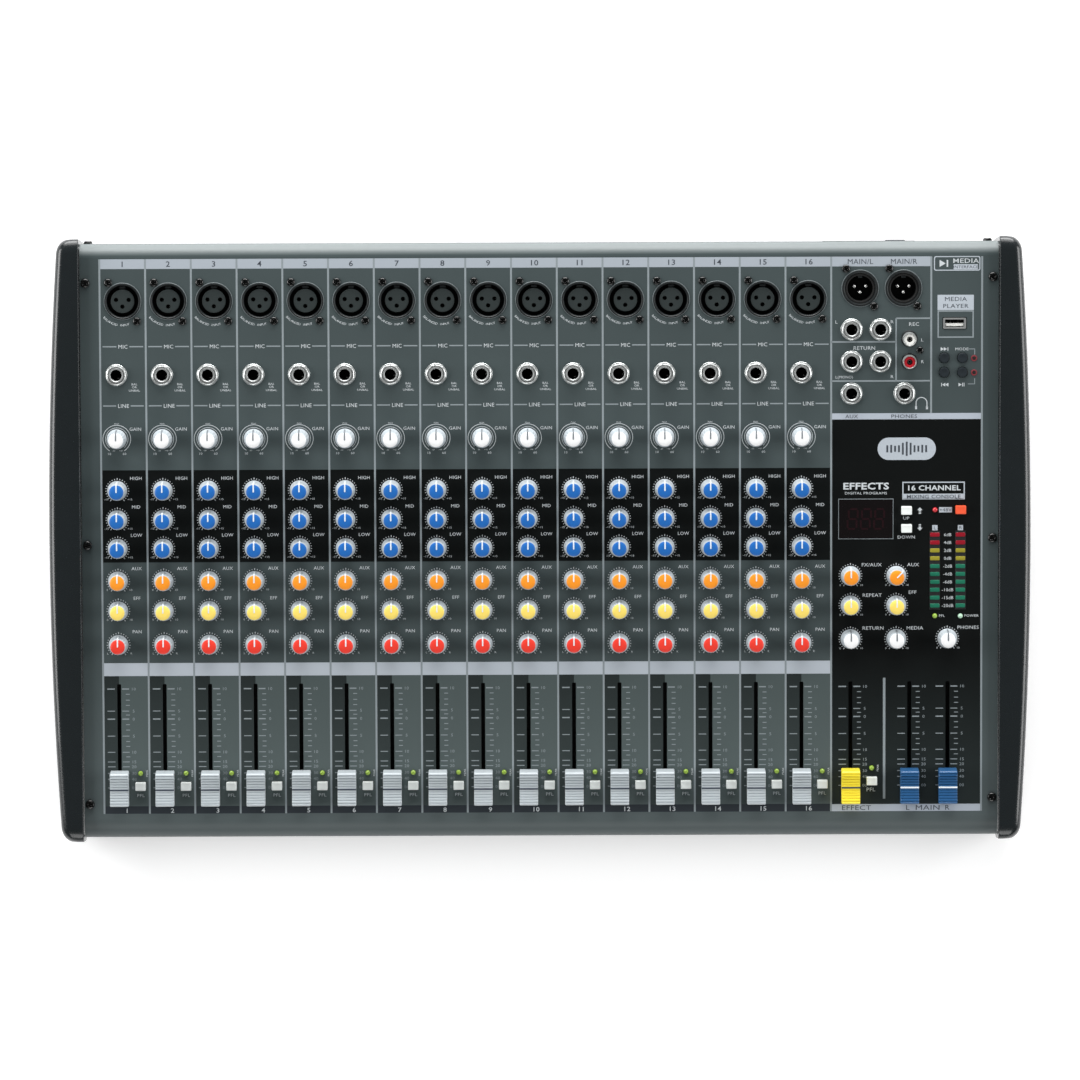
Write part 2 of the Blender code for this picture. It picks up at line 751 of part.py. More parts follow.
def make_display(plane):
    """The smoked window over the effect number, held from below by its flange."""
    shape = bmesh.new()
    width, length = DISPLAY_SIZE
    add_prism(shape, rectangle(0.0, 0.0, width + 0.0040, length + 0.0040), -0.0040, UNDERSIDE - GAP)
    window = place("effect_display_window", shape, "smoked", plane, (*DISPLAY, 0.0))
    face = bmesh.new()
    add_prism(face, rectangle(0.0, 0.0, width, length), -0.0030, 0.0003)
    boolean(window, helper("display_face", face, window), "UNION")


def make_power_supply():
    """The power supply: a board on pillars in the tray, with its transformer and heat sink."""
    shape = bmesh.new()
    deck = FLOOR + SHEET + 0.0060
    x, y = 0.1550, 0.1250
    add_prism(shape, rectangle(x, y, 0.1100, 0.0600), deck, deck + BOARD)
    supply = place("power_supply", shape, "power_brown")
    extras = bmesh.new()
    for dx in (-0.048, 0.048):
        for dy in (-0.024, 0.024):
            add_prism(extras, circle(x + dx, y + dy, 0.0030, 6), FLOOR + SHEET + GAP, deck + 0.0008)
    add_prism(extras, rectangle(x - 0.0250, y, 0.0360, 0.0420), deck + 0.0009, deck + 0.0215)
    add_prism(extras, rectangle(x + 0.0200, y + 0.0150, 0.0400, 0.0040), deck + 0.0009, deck + 0.0200)
    boolean(supply, helper("supply_parts", extras, None), "UNION")


def make_mains_inlet():
    """The moulded inlet module in the rear wall: a three-pin socket and, beside it, the rocker's bay."""
    back = PANEL_HALF_DEPTH - SHEET - GAP
    flange = back + GAP
    width, height = INLET_SIZE
    shape = bmesh.new()
    add_box(shape, (INLET_X, flange + 0.0012, INLET_Z), (width, 0.0024, height))
    inlet = place("mains_inlet", shape, "socket_black")
    body = bmesh.new()
    body_y = flange - INLET_DEPTH / 2 + 0.0012
    add_box(body, (INLET_X, body_y, INLET_Z), (width - 0.0070, INLET_DEPTH, height - 0.0070))
    boolean(inlet, helper("inlet_body", body, None), "UNION")
    cavity = bmesh.new()
    add_box(cavity, (SOCKET_X, flange, INLET_Z), (INLET_CAVITY[0], 0.0300, INLET_CAVITY[1]))
    add_box(cavity, (ROCKER_X, flange, INLET_Z), (ROCKER_SIZE[0] + 0.0010, 0.0300, ROCKER_SIZE[1] + 0.0016))
    boolean(inlet, helper("inlet_cavities", cavity, None), "DIFFERENCE")
    pins = bmesh.new()
    for dx, dz in ((-0.0070, -0.0020), (0.0, 0.0020), (0.0070, -0.0020)):
        add_box(pins, (SOCKET_X + dx, flange - 0.0095, INLET_Z + dz), (0.0020, 0.0150, 0.0040))
    boolean(inlet, helper("inlet_pins", pins, None), "UNION")


def add_box(shape, centre, size):
    """Adds a box around the centre."""
    made = bmesh.ops.create_cube(shape, size=1.0)
    matrix = Matrix.Translation(Vector(centre)) @ Matrix.Diagonal((*size, 1.0))
    bmesh.ops.transform(shape, matrix=matrix, verts=made["verts"])


def make_rocker():
    """The power rocker on its cross pivot, tipped to its lower stop at rest."""
    width, height = ROCKER_SIZE
    half = height / 2
    section = [
        (-0.0060, -half * 0.55),
        (0.0014, -half + 0.0006),
        (0.0030, -half + 0.0010),
        (0.0010, 0.0),
        (0.0030, half - 0.0010),
        (0.0014, half - 0.0006),
        (-0.0060, half * 0.55),
    ]
    shape = bmesh.new()
    add_bar(shape, section, -width / 2, width / 2)
    rocker = place("power_rocker", shape, "key_black")
    rocker.location = (ROCKER_X, ROCKER_Y, INLET_Z)
    rocker.rotation_euler = (ROCKER_TILT, 0.0, 0.0)


def main():
    """Builds the console, piece by piece."""
    clear_scene()
    plane = make_panel_plane()
    make_top_panel(plane)
    make_base_tray()
    make_cheek("left_cheek", -1)
    make_cheek("right_cheek", 1)
    make_feet()
    make_mic_sockets(plane)
    make_line_jacks(plane)
    make_outputs(plane)
    make_player_module(plane)
    make_control_board(plane)
    make_fader_board(plane)
    make_display(plane)
    make_power_supply()
    make_mains_inlet()
    make_rocker()
    make_faders(plane)
    make_knobs(plane)
    make_keys(plane)


main()
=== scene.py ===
"""The looks of a sixteen-channel mixing console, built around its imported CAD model.

Shapes are worked out in millimetres. Those on the control panel use the panel's own plane: u runs to the
right, v up the slope to the back, and w out of the painted face. lay() and stand() put them in the frame.
"""

import json
import math

import bmesh
import bpy
import numpy as np
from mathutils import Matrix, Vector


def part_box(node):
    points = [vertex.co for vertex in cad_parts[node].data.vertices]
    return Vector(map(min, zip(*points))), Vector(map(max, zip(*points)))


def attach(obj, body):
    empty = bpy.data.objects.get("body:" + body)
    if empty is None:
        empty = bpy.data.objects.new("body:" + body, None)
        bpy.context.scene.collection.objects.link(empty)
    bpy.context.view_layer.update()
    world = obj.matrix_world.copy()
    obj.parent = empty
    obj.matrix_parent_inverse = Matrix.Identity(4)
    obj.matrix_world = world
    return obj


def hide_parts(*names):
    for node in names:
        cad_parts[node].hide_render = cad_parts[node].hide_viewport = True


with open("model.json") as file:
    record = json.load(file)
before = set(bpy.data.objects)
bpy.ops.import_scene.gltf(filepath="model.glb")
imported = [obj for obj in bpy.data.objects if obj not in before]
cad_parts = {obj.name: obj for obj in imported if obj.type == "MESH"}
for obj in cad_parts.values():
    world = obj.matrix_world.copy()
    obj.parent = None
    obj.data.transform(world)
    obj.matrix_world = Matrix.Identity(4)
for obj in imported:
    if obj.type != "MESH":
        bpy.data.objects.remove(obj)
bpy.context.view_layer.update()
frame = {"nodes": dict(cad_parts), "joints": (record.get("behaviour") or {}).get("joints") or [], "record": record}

MM = 0.001
JOINTS = {joint["child"]: joint for joint in frame["joints"]}
SLOPE_ALONG = np.array(JOINTS["fader_1"]["axis"])
SLOPE_OUT = np.array(JOINTS["gain_knob_1"]["axis"])
SLOPE_TAN = SLOPE_ALONG[2] / SLOPE_ALONG[1]


def extent(node):
    """A CAD node's lowest and highest corner, in millimetres."""
    low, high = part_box(node)
    return np.array(low) / MM, np.array(high) / MM


def middle_u(node):
    """How far to the right the middle of a CAD node stands."""
    low, high = extent(node)
    return (low[0] + high[0]) / 2


def knob_axis(node):
    """(u, v) of the shaft that a knob turns on."""
    point = np.array(JOINTS[node]["pos_m"]) / MM - [0.0, 0.0, PANEL_Z]
    return point[0], point @ SLOPE_ALONG


_, shaft_y, shaft_z = np.array(JOINTS["gain_knob_1"]["pos_m"]) / MM
PANEL_Z = shaft_z - shaft_y * SLOPE_TAN  # height of the painted face above the frame's origin

# The channel strips.
CHANNELS = 16
PITCH = (middle_u("fader_16") - middle_u("fader_1")) / (CHANNELS - 1)
CONTROLS_IN = 9.6  # knobs and faders stand this far from their strip's left edge
STRIPS_LEFT = middle_u("fader_1") - CONTROLS_IN
STRIPS_RIGHT = STRIPS_LEFT + CHANNELS * PITCH
KEY_IN = middle_u("pfl_button_1") - STRIPS_LEFT
MIC_IN = PITCH / 2
LABEL_IN = 20.9
MIC_V = 145.8
LINE_V = 101.2
KEY_V = -149.4
LISTEN_LED_V = -141.6
KNOB_ROWS = {
    "gain": "white",
    "high": "blue",
    "mid": "blue",
    "low": "blue",
    "aux": "orange",
    "effect": "yellow",
    "pan": "red",
}
ROW_V = {row: knob_axis(f"{row}_knob_1")[1] for row in KNOB_ROWS}

# Slide faders.
FADER_REST_V = -150.6
FADER_TRAVEL = JOINTS["fader_1"]["range_m"][1] / MM
SLOT_MIDDLE_V = FADER_REST_V + FADER_TRAVEL / 2
SLOT = (2.4, FADER_TRAVEL + 7.3)
CAP = (11.2, 21.8, 10.0)
CAP_LOW = 1.2

# The master section.
MASTER_LEFT = STRIPS_RIGHT
MASTER_MIDDLE = 236.7
MASTER_RIGHT = 267.4
OUTPUTS = {"left": (193.8, 152.1), "right": (219.9, 152.1)}
MASTER_JACKS = {
    "main_left_jack": (188.7, 127.2),
    "main_right_jack": (206.1, 127.2),
    "return_left_jack": (188.7, 107.8),
    "return_right_jack": (206.1, 107.8),
    "aux_jack": (188.6, 88.4),
    "phones_jack": (220.6, 88.4),
}
PHONOS = {"record_left_phono": (223.5, 121.5), "record_right_phono": (223.5, 107.8)}
MEDIA = (250.8, 130.8)
PLAYER_KEYS = {
    "player_next_button": (244.6, 109.9),
    "player_mode_button": (255.6, 109.9),
    "player_back_button": (244.6, 101.1),
    "player_play_button": (255.6, 101.1),
}
SQUARE_KEYS = {
    "effect_pfl_button": (201.0, -147.6),
    "program_up_button": (221.9, 17.4),
    "program_down_button": (221.9, 6.5),
    "phantom_button": (254.7, 17.7),
}
DISPLAY = (197.3, 12.2)
DISPLAY_SIZE = (32.4, 23.6)
METERS = {"left": 239.1, "right": 254.6}
METER_TOP_V = 2.5
METER_STEP = 4.8
METER_LAMPS = 10
METER_MIDDLE_V = METER_TOP_V - METER_STEP * (METER_LAMPS - 1) / 2
METER_SIZE = (6.4, 48.0)

# The folded sheet.
SHEET = 1.5
REAR_BEND = 8.0
FRONT_BEND = 13.0
REAR_LIP = 14.0
FRONT_LIP = 5.0

# Bands of print, from v to v.
HEADER = (165.4, 171.3)
EQ_BAND = (-12.7, 43.4)
LIGHT_BAND = (-82.0, -74.1)
NUMBER_BAND = (-166.3, -161.7)
MASTER_BAND = (72.7, 76.4)
MASTER_DARK = (-162.0, 72.7)
MASTER_FOOT = (-166.3, -162.0)
PRINT_BOTTOM = -166.3


def strip(channel):
    """u of the left edge of a channel's strip."""
    return STRIPS_LEFT + (channel - 1) * PITCH


# ---------------------------------------------------------------- shader expressions


class Value:
    """A number on a socket. Sums, products and comparisons of it add Math nodes to its graph."""

    def __init__(self, graph, socket):
        self.graph = graph
        self.socket = socket

    def math(self, operation, *operands):
        """A Math node of that operation on the operands."""
        made = self.graph.add("ShaderNodeMath", {"operation": operation}, dict(enumerate(operands)))
        return Value(self.graph, made.outputs[0])

    def __add__(self, other):
        return self.math("ADD", self, other)

    def __sub__(self, other):
        return self.math("SUBTRACT", self, other)

    def __mul__(self, other):
        return self.math("MULTIPLY", self, other)

    def __gt__(self, other):
        return self.math("GREATER_THAN", self, other)

    def __lt__(self, other):
        return self.math("LESS_THAN", self, other)

    def __rsub__(self, other):
        return self.math("SUBTRACT", other, self)

    __radd__ = __add__
    __rmul__ = __mul__

    def wrapped(self, step):
        """The remainder, from 0 to step."""
        return self.math("FLOORED_MODULO", self, step)

    def within(self, low, high):
        """1 between low and high, and 0 outside."""
        return (self > low) * (self < high)

    def ramp(self, low, high):
        """Rises from 0 at low to 1 at high, and is clamped outside."""
        sockets = {"Value": self, "From Min": low, "From Max": high}
        return Value(self.graph, self.graph.add("ShaderNodeMapRange", {"clamp": True}, sockets).outputs[0])


def srgb(red, green, blue):
    """The linear colour of an sRGB one from 0 to 255."""
    parts = np.array([red, green, blue]) / 255.0
    return tuple(np.where(parts <= 0.04045, parts / 12.92, ((parts + 0.055) / 1.055) ** 2.4)) + (1.0,)


class Finish:
    """A Principled material and the few calls that build its pattern."""

    def __init__(self, name, colour, roughness, metallic=0.0, **fixed):
        self.material = bpy.data.materials.new(name)
        self.material.use_nodes = True
        self.tree = self.material.node_tree
        self.shader = self.tree.nodes["Principled BSDF"]
        self.colour = srgb(*colour)
        self.roughness = roughness
        self.set("Base Color", self.colour)
        self.set("Roughness", roughness)
        self.set("Metallic", metallic)
        for socket, number in fixed.items():
            self.set(socket.replace("_", " "), number)
        self.material.diffuse_color = self.colour

    def add(self, kind, settings, sockets):
        """A node of that kind: first its settings, then the values or links of its sockets."""
        node = self.tree.nodes.new(kind)
        for key, setting in settings.items():
            setattr(node, key, setting)
        for key, value in sockets.items():
            self.feed(node.inputs[key], value)
        return node

    def feed(self, socket, value):
        """Links a Value or a socket to an input, or sets a plain number or colour on it."""
        if isinstance(value, Value):
            value = value.socket
        if isinstance(value, bpy.types.NodeSocket):
            self.tree.links.new(value, socket)
        else:
            socket.default_value = value

    def set(self, socket, value):
        """Feeds one of the shader's own inputs."""
        self.feed(self.shader.inputs[socket], value)

    def place(self):
        """The surface point's x, y and z, in metres."""
        where = self.add("ShaderNodeTexCoord", {}, {}).outputs["Object"]
        apart = self.add("ShaderNodeSeparateXYZ", {}, {0: where})
        return [Value(self, socket) for socket in apart.outputs]

    def noise(self, size, stretch=(1.0, 1.0, 1.0)):
        """Noise from 0 to 1 whose lumps are about that many millimetres across."""
        where = self.add("ShaderNodeTexCoord", {}, {}).outputs["Object"]
        scaled = self.add("ShaderNodeMapping", {}, {"Vector": where, "Scale": stretch})
        sockets = {"Vector": scaled.outputs[0], "Scale": 1.0 / (size * MM), "Detail": 2.0}
        return Value(self, self.add("ShaderNodeTexNoise", {}, sockets).outputs[0])

    def mix(self, factor, first, second):
        """A colour between two colours."""
        sockets = {"Factor": factor, 6: first, 7: second}
        return self.add("ShaderNodeMix", {"data_type": "RGBA"}, sockets).outputs[2]

    def tint(self, factor, amount):
        """Makes the base colour vary by that share of itself, following factor."""
        dark, light = (np.minimum(1.0, np.array(self.colour[:3]) * (1.0 + side * amount)) for side in (-1, 1))
        self.set("Base Color", self.mix(factor, (*dark, 1.0), (*light, 1.0)))

    def rough(self, factor, amount):
        """Makes the roughness vary by that much each way, following factor."""
        self.set("Roughness", (factor - 0.5) * (2.0 * amount) + self.roughness)

    def bump(self, height, depth):
        """Raises the surface by height, whose full range is that many millimetres."""
        made = self.add("ShaderNodeBump", {}, {"Height": height, "Distance": depth * MM, "Strength": 1.0})
        self.set("Normal", made.outputs["Normal"])


def moulded(name, colour, roughness=0.38, grain=0.010, shade=0.05, **fixed):
    """Injection-moulded plastic: fine spark grain, slow flow marks in its colour, uneven sheen."""
    finish = Finish(name, colour, roughness, **fixed)
    finish.tint(finish.noise(9.0), shade)
    finish.rough(finish.noise(1.1), 0.04)
    finish.bump(finish.noise(0.35), grain)
    return finish.material


def powder_coat(name, colour, roughness):
    """Powder coat on steel: orange peel, with a slight cloud in its colour."""
    finish = Finish(name, colour, roughness, metallic=0.1)
    finish.tint(finish.noise(30.0), 0.05)
    finish.rough(finish.noise(1.2), 0.07)
    finish.bump(finish.noise(0.8), 0.02)
    return finish.material


def plated(name, colour, roughness=0.22, metallic=1.0):
    """Plated metal with faint turning marks and handling haze."""
    finish = Finish(name, colour, roughness, metallic=metallic)
    finish.tint(finish.noise(1.5), 0.06)
    finish.rough(finish.noise(0.6, stretch=(1.0, 1.0, 6.0)), 0.06)
    finish.bump(finish.noise(0.4, stretch=(1.0, 1.0, 5.0)), 0.002)
    return finish.material


def ink(name, colour):
    """Silk-screened ink: matte, with the mesh's faint unevenness."""
    finish = Finish(name, colour, 0.6)
    finish.tint(finish.noise(0.5), 0.10)
    finish.rough(finish.noise(0.3), 0.08)
    finish.bump(finish.noise(0.2), 0.004)
    return finish.material


def lens(name, colour, glow):
    """A lamp's tinted lens, a little cloudy, with a little light of its own."""
    finish = Finish(name, colour, 0.18, Coat_Weight=0.4)
    finish.tint(finish.noise(0.8), 0.15)
    finish.set("Emission Color", finish.colour)
    finish.set("Emission Strength", glow)
    finish.rough(finish.noise(0.5), 0.05)
    return finish.material


def solder_mask(name, colour):
    """A circuit board's lacquer over its copper tracks."""
    finish = Finish(name, colour, 0.35, Coat_Weight=0.3)
    x, y, _ = finish.place()
    tracks = ((x * 1000.0 + finish.noise(12.0) * 6.0).wrapped(2.5) > 1.9) * 1.0
    finish.set("Base Color", finish.mix(tracks, finish.colour, srgb(60, 130, 80)))
    finish.bump(tracks, 0.03)
    return finish.material


def panel_coat():
    """The panel's grey coat and, over it, the printed bands, fields and shades of the strips. Painted light
    lightens the coat and its dark fields towards the front, and a painted highlight lies on the rear bend.
    """
    finish = Finish("panel_coat", (72, 82, 83), 0.42, Specular_IOR_Level=0.22)
    x, y, z = finish.place()
    u = x * 1000.0
    v = (y * SLOPE_ALONG[1] + (z - PANEL_Z * MM) * SLOPE_ALONG[2]) * 1000.0
    across = (u - STRIPS_LEFT).wrapped(PITCH)
    strips = u.within(STRIPS_LEFT, STRIPS_RIGHT)
    master = u.within(MASTER_LEFT, MASTER_RIGHT)
    # Painted light: the whole coat is painted lighter towards the front edge.
    painted_front_light = v.ramp(-60.0, -170.0) * 0.55
    # Painted highlight: the rear bend is painted pale grey where the sheet rolls over.
    bend = v.ramp(173.2, 176.5) * (z * 1000.0).ramp(66.0, 70.0) * 0.35
    fader_field = strips * v.within(NUMBER_BAND[1], LIGHT_BAND[0])
    # The dark field left of each slot is print; its fading towards the front is painted light.
    slot_fields_and_front_light = fader_field * (across < CONTROLS_IN) * (0.95 - v.ramp(-80.0, -160.0) * 0.35)
    outputs = u.within(MASTER_LEFT, MASTER_MIDDLE)
    # The black master field is print; its lightening towards the front is painted light.
    master_black_and_front_light = finish.mix(v.ramp(-70.0, -165.0), srgb(8, 11, 11), srgb(38, 45, 45))
    colour = finish.mix(finish.noise(60.0), srgb(62, 71, 72), srgb(72, 82, 83))
    for area, tone in (
        (painted_front_light, srgb(94, 103, 104)),
        (bend, srgb(178, 184, 184)),
        (fader_field * 0.5, srgb(80, 91, 90)),
        (slot_fields_and_front_light, srgb(34, 40, 40)),
        (strips * v.within(*HEADER), srgb(163, 171, 179)),
        (strips * v.within(*LIGHT_BAND), srgb(177, 185, 193)),
        (strips * v.within(*EQ_BAND), srgb(8, 12, 12)),
        (strips * v.within(*NUMBER_BAND), srgb(47, 52, 57)),
        (outputs * v.within(*HEADER), srgb(163, 171, 179)),
        (master * v.within(*MASTER_BAND), srgb(172, 180, 190)),
        (master * v.within(*MASTER_DARK), master_black_and_front_light),
        (master * v.within(*MASTER_FOOT), srgb(172, 180, 190)),
    ):
        colour = finish.mix(area, colour, tone)
    finish.set("Base Color", colour)

    inked = v.within(PRINT_BOTTOM, HEADER[1]) * u.within(STRIPS_LEFT, MASTER_RIGHT)
    finish.rough(finish.noise(1.2), 0.05)
    finish.bump(finish.noise(0.8) * (1.0 - inked * 0.5), 0.016)
    return finish.material


def smoked_acrylic():
    """The dark window over the effect number."""
    finish = Finish("smoked_acrylic", (13, 9, 10), 0.09, Coat_Weight=0.6)
    finish.tint(finish.noise(14.0), 0.2)
    finish.rough(finish.noise(3.0), 0.03)
    return finish.material


COATS = {
    "panel": panel_coat(),
    "tray": powder_coat("tray_coat", (60, 66, 70), 0.5),
    "cheek": moulded("cheek_shell", (25, 30, 32), 0.27, 0.0012, 0.08, Coat_Weight=0.25),
    "rubber": moulded("foot_rubber", (24, 24, 24), 0.85, 0.05),
    "nylon": moulded("black_nylon", (24, 28, 29), 0.42, Specular_IOR_Level=0.35),
    # The sockets' rolled lip is painted light grey: a painted highlight on its edge.
    "rim": moulded("socket_rim", (112, 120, 122), 0.34),
    "core": moulded("socket_core", (44, 51, 51), 0.40),
    # Near-black, darker than the black nylon: painted shade inside the sockets' hollows; also the small lamps'
    # dark glass.
    "bore": moulded("bore_black", (7, 8, 8), 0.6),
    "nickel": plated("bright_nickel", (222, 225, 224), 0.36, 0.85),
    "pin": plated("silver_pin", (232, 232, 230), 0.18),
    "steel": plated("tinned_steel", (190, 190, 188), 0.3),
    "screw": moulded("black_screw", (10, 11, 11), 0.2, 0.004, Coat_Weight=0.3),
    "board": solder_mask("board_green", (20, 85, 45)),
    "pot": plated("pot_can", (165, 160, 150), 0.35),
    "track": moulded("fader_track", (10, 12, 13), 0.6),
    "skirt": moulded("knob_skirt", (186, 194, 199), 0.36),
    "white": moulded("knob_white", (248, 249, 249), 0.33, shade=0.02),
    "blue": moulded("knob_blue", (34, 104, 182), 0.33),
    "orange": moulded("knob_orange", (250, 152, 42), 0.33),
    "yellow": moulded("knob_yellow", (250, 222, 110), 0.33, shade=0.03),
    "red": moulded("knob_red", (233, 62, 48), 0.33),
    "pointer": moulded("pointer_pale", (228, 235, 240), 0.4, shade=0.02),
    "pointer_grey": moulded("pointer_grey", (120, 126, 132), 0.4),
    "cap_white": moulded("cap_white", (184, 192, 196), 0.36),
    "cap_yellow": moulded("cap_yellow", (246, 226, 62), 0.36, shade=0.03),
    "cap_blue": moulded("cap_blue", (40, 88, 134), 0.36),
    "cap_line": moulded("cap_line_dark", (58, 66, 78), 0.4),
    "cap_line_white": moulded("cap_line_white", (236, 242, 246), 0.4, shade=0.02),
    "key_white": moulded("key_white", (236, 241, 238), 0.36, shade=0.02),
    "key_orange": moulded("key_orange", (240, 92, 58), 0.36),
    "key_dark": moulded("key_dark", (38, 44, 48), 0.24, Coat_Weight=0.3),
    "phono_white": moulded("phono_white", (232, 232, 228), 0.3, shade=0.02),
    "phono_red": moulded("phono_red", (172, 32, 42), 0.3),
    "lamp_lime": lens("lamp_lime", (140, 172, 58), 0.08),
    "lamp_pale": lens("lamp_pale", (170, 205, 180), 0.15),
    "lamp_red": lens("lamp_red", (190, 40, 48), 0.15),
    "bar_red": lens("bar_red", (142, 24, 38), 0.05),
    "bar_yellow": lens("bar_yellow", (146, 138, 46), 0.05),
    "bar_green": lens("bar_green", (32, 108, 84), 0.05),
    "digit": lens("digit_red", (32, 13, 17), 0.01),
    "smoke": smoked_acrylic(),
    "ink_light": ink("ink_light", (134, 143, 147)),
    "ink_white": ink("ink_white", (196, 202, 205)),
    "ink_strip": ink("ink_strip", (176, 184, 192)),
    "ink_dark": ink("ink_dark", (58, 64, 72)),
    "ink_black": ink("ink_black", (16, 19, 20)),
    "ink_red": ink("ink_red", (122, 38, 46)),
}


# ---------------------------------------------------------------- surfaces

# A part is (points, corners, sizes): an array of points in millimetres, the point numbers of every face one
# after another, and how many corners each face has.


def skin(rings, hollow=False):
    """The closed surface through an array of rings (ring, point, xyz).

    Rings run anticlockwise seen from the end towards which they are stacked. A flat face closes each end
    ring; a hollow surface has none, and its last ring meets its first one.
    """
    stack, around = rings.shape[:2]
    i, j = np.meshgrid(np.arange(stack if hollow else stack - 1), np.arange(around), indexing="ij")
    k, after = (j + 1) % around, (i + 1) % stack
    quads = np.stack([i * around + j, i * around + k, after * around + k, after * around + j], axis=-1)
    corners = [quads.reshape(-1)]
    sizes = [np.full(quads.shape[0] * quads.shape[1], 4)]
    if not hollow:
        corners += [np.arange(around)[::-1], (stack - 1) * around + np.arange(around)]
        sizes += [np.array([around, around])]
    return rings.reshape(-1, 3), np.concatenate(corners), np.concatenate(sizes)


def turns(sides):
    """That many angles round a full turn, starting at a flat's middle."""
    return 2.0 * np.pi * (np.arange(sides) + 0.5) / sides


def turned(profile, sides=32, u=0.0, v=0.0, hollow=False):
    """A turned solid: each (radius, w) of the profile is a circle around the axis at (u, v).

    The profile runs up the outside. A hollow one then runs down its bore.
    """
    radius, level = np.array(profile, float).T
    angle = turns(sides)
    x, y = u + np.outer(radius, np.cos(angle)), v + np.outer(radius, np.sin(angle))
    return skin(np.stack([x, y, np.outer(level, np.ones(sides))], axis=-1), hollow)


def rounded(width, length, radius, steps=4):
    """A rounded rectangle's outline, anticlockwise: a quarter circle of steps + 1 points at each corner."""
    angle = (np.arange(4)[:, None] * np.pi / 2 + np.linspace(0.0, np.pi / 2, steps + 1)).reshape(-1)
    side = np.repeat([[1, 1], [-1, 1], [-1, -1], [1, -1]], steps + 1, axis=0)
    middle = side * [width / 2 - radius, length / 2 - radius]
    return middle + radius * np.stack([np.cos(angle), np.sin(angle)], axis=-1)


def pad(width, length, radius, levels, u=0.0, v=0.0, steps=3):
    """A rounded rectangle carried up through levels (inset, w), drawn in by the inset at each."""
    rings = []
    for inset, w in levels:
        outline = rounded(width - 2 * inset, length - 2 * inset, max(radius - inset, 0.02), steps)
        rings.append(np.column_stack([outline + [u, v], np.full(len(outline), w)]))
    return skin(np.array(rings))


def box_outline(u, v, width, length):
    """A rectangle as an outline, anticlockwise."""
    return np.array([[-1, -1], [1, -1], [1, 1], [-1, 1]]) * [width / 2, length / 2] + [u, v]


def prism(outline, low, high):
    """An anticlockwise outline of (u, v) carried from one level to another."""
    return skin(np.array([np.column_stack([outline, np.full(len(outline), w)]) for w in (low, high)]))


def block(u, v, width, length, low, high):
    """A plain bar with square edges between two levels."""
    return prism(box_outline(u, v, width, length), low, high)


def carried(section, stations):
    """A section (v, w), clockwise seen from +u, carried through stations (u, scale about its middle)."""
    section = np.array(section, float)
    centre = (section.max(0) + section.min(0)) / 2
    rings = []
    for u, scale in stations:
        rings.append(np.column_stack([np.full(len(section), u), centre + (section - centre) * scale]))
    return skin(np.array(rings))


def moved(part, u=0.0, v=0.0, w=0.0, turn=0.0):
    """A part turned about the axis by that many degrees, then shifted."""
    points, corners, sizes = part
    c, s = math.cos(math.radians(turn)), math.sin(math.radians(turn))
    return points @ np.array([[c, s, 0.0], [-s, c, 0.0], [0.0, 0.0, 1.0]]) + [u, v, w], corners, sizes


def placed(pairs, u, v, turn=0.0):
    """(part, coat) pairs turned about the axis, then shifted along the panel."""
    return [(moved(part, u, v, 0.0, turn), coat) for part, coat in pairs]


def joined(parts):
    """Several parts as one, each still a closed body of its own."""
    offsets = np.cumsum([0] + [len(part[0]) for part in parts[:-1]])
    return (
        np.concatenate([part[0] for part in parts]),
        np.concatenate([part[1] + offset for part, offset in zip(parts, offsets)]),
        np.concatenate([part[2] for part in parts]),
    )


def read(mesh, weld=1e-4):
    """The part that a mesh holds, welded and with its faces pointing outwards."""
    work = bmesh.new()
    work.from_mesh(mesh)
    bmesh.ops.remove_doubles(work, verts=work.verts, dist=weld)
    bmesh.ops.recalc_face_normals(work, faces=work.faces)
    work.to_mesh(mesh)
    work.free()
    points = np.empty(len(mesh.vertices) * 3)
    mesh.vertices.foreach_get("co", points)
    corners = np.empty(len(mesh.loops), int)
    mesh.loops.foreach_get("vertex_index", corners)
    sizes = np.empty(len(mesh.polygons), int)
    mesh.polygons.foreach_get("loop_total", sizes)
    bpy.data.meshes.remove(mesh)
    return points.reshape(-1, 3), corners, sizes


def cut_plate(outlines, low, high):
    """A flat plate between two levels: the first outline (u, v) is its edge, the others are its holes."""
    curve = bpy.data.curves.new("plate", "CURVE")
    curve.dimensions = "2D"
    curve.fill_mode = "BOTH"
    curve.extrude = (high - low) / 2
    for outline in outlines:
        spline = curve.splines.new("POLY")
        spline.points.add(len(outline) - 1)
        weighted = np.column_stack([outline, np.zeros(len(outline)), np.ones(len(outline))])
        spline.points.foreach_set("co", weighted.reshape(-1))
        spline.use_cyclic_u = True
    holder = bpy.data.objects.new("plate", curve)
    part = read(bpy.data.meshes.new_from_object(holder))
    bpy.data.objects.remove(holder)
    bpy.data.curves.remove(curve)
    return moved(part, w=(low + high) / 2)


def ring_outline(radius, u=0.0, v=0.0, sides=32):
    """A circle as an outline."""
    angle = turns(sides)
    return np.column_stack([u + radius * np.cos(angle), v + radius * np.sin(angle)])


def arc_band(radius, thick, start, end, low, high, steps=28):
    """Part of a flat ring, from one angle to another in degrees, anticlockwise from +u."""
    angle = np.radians(np.linspace(start, end, steps + 1))
    rings = []
    for a in angle:
        spoke = np.array([math.cos(a), math.sin(a)])
        inner, outer = spoke * (radius - thick / 2), spoke * (radius + thick / 2)
        rings.append([[*inner, low], [*inner, high], [*outer, high], [*outer, low]])
    return skin(np.array(rings))


INK = (-0.02, 0.035)  # levels of a layer of ink; its underside lies just inside the coat
LETTERS = {}


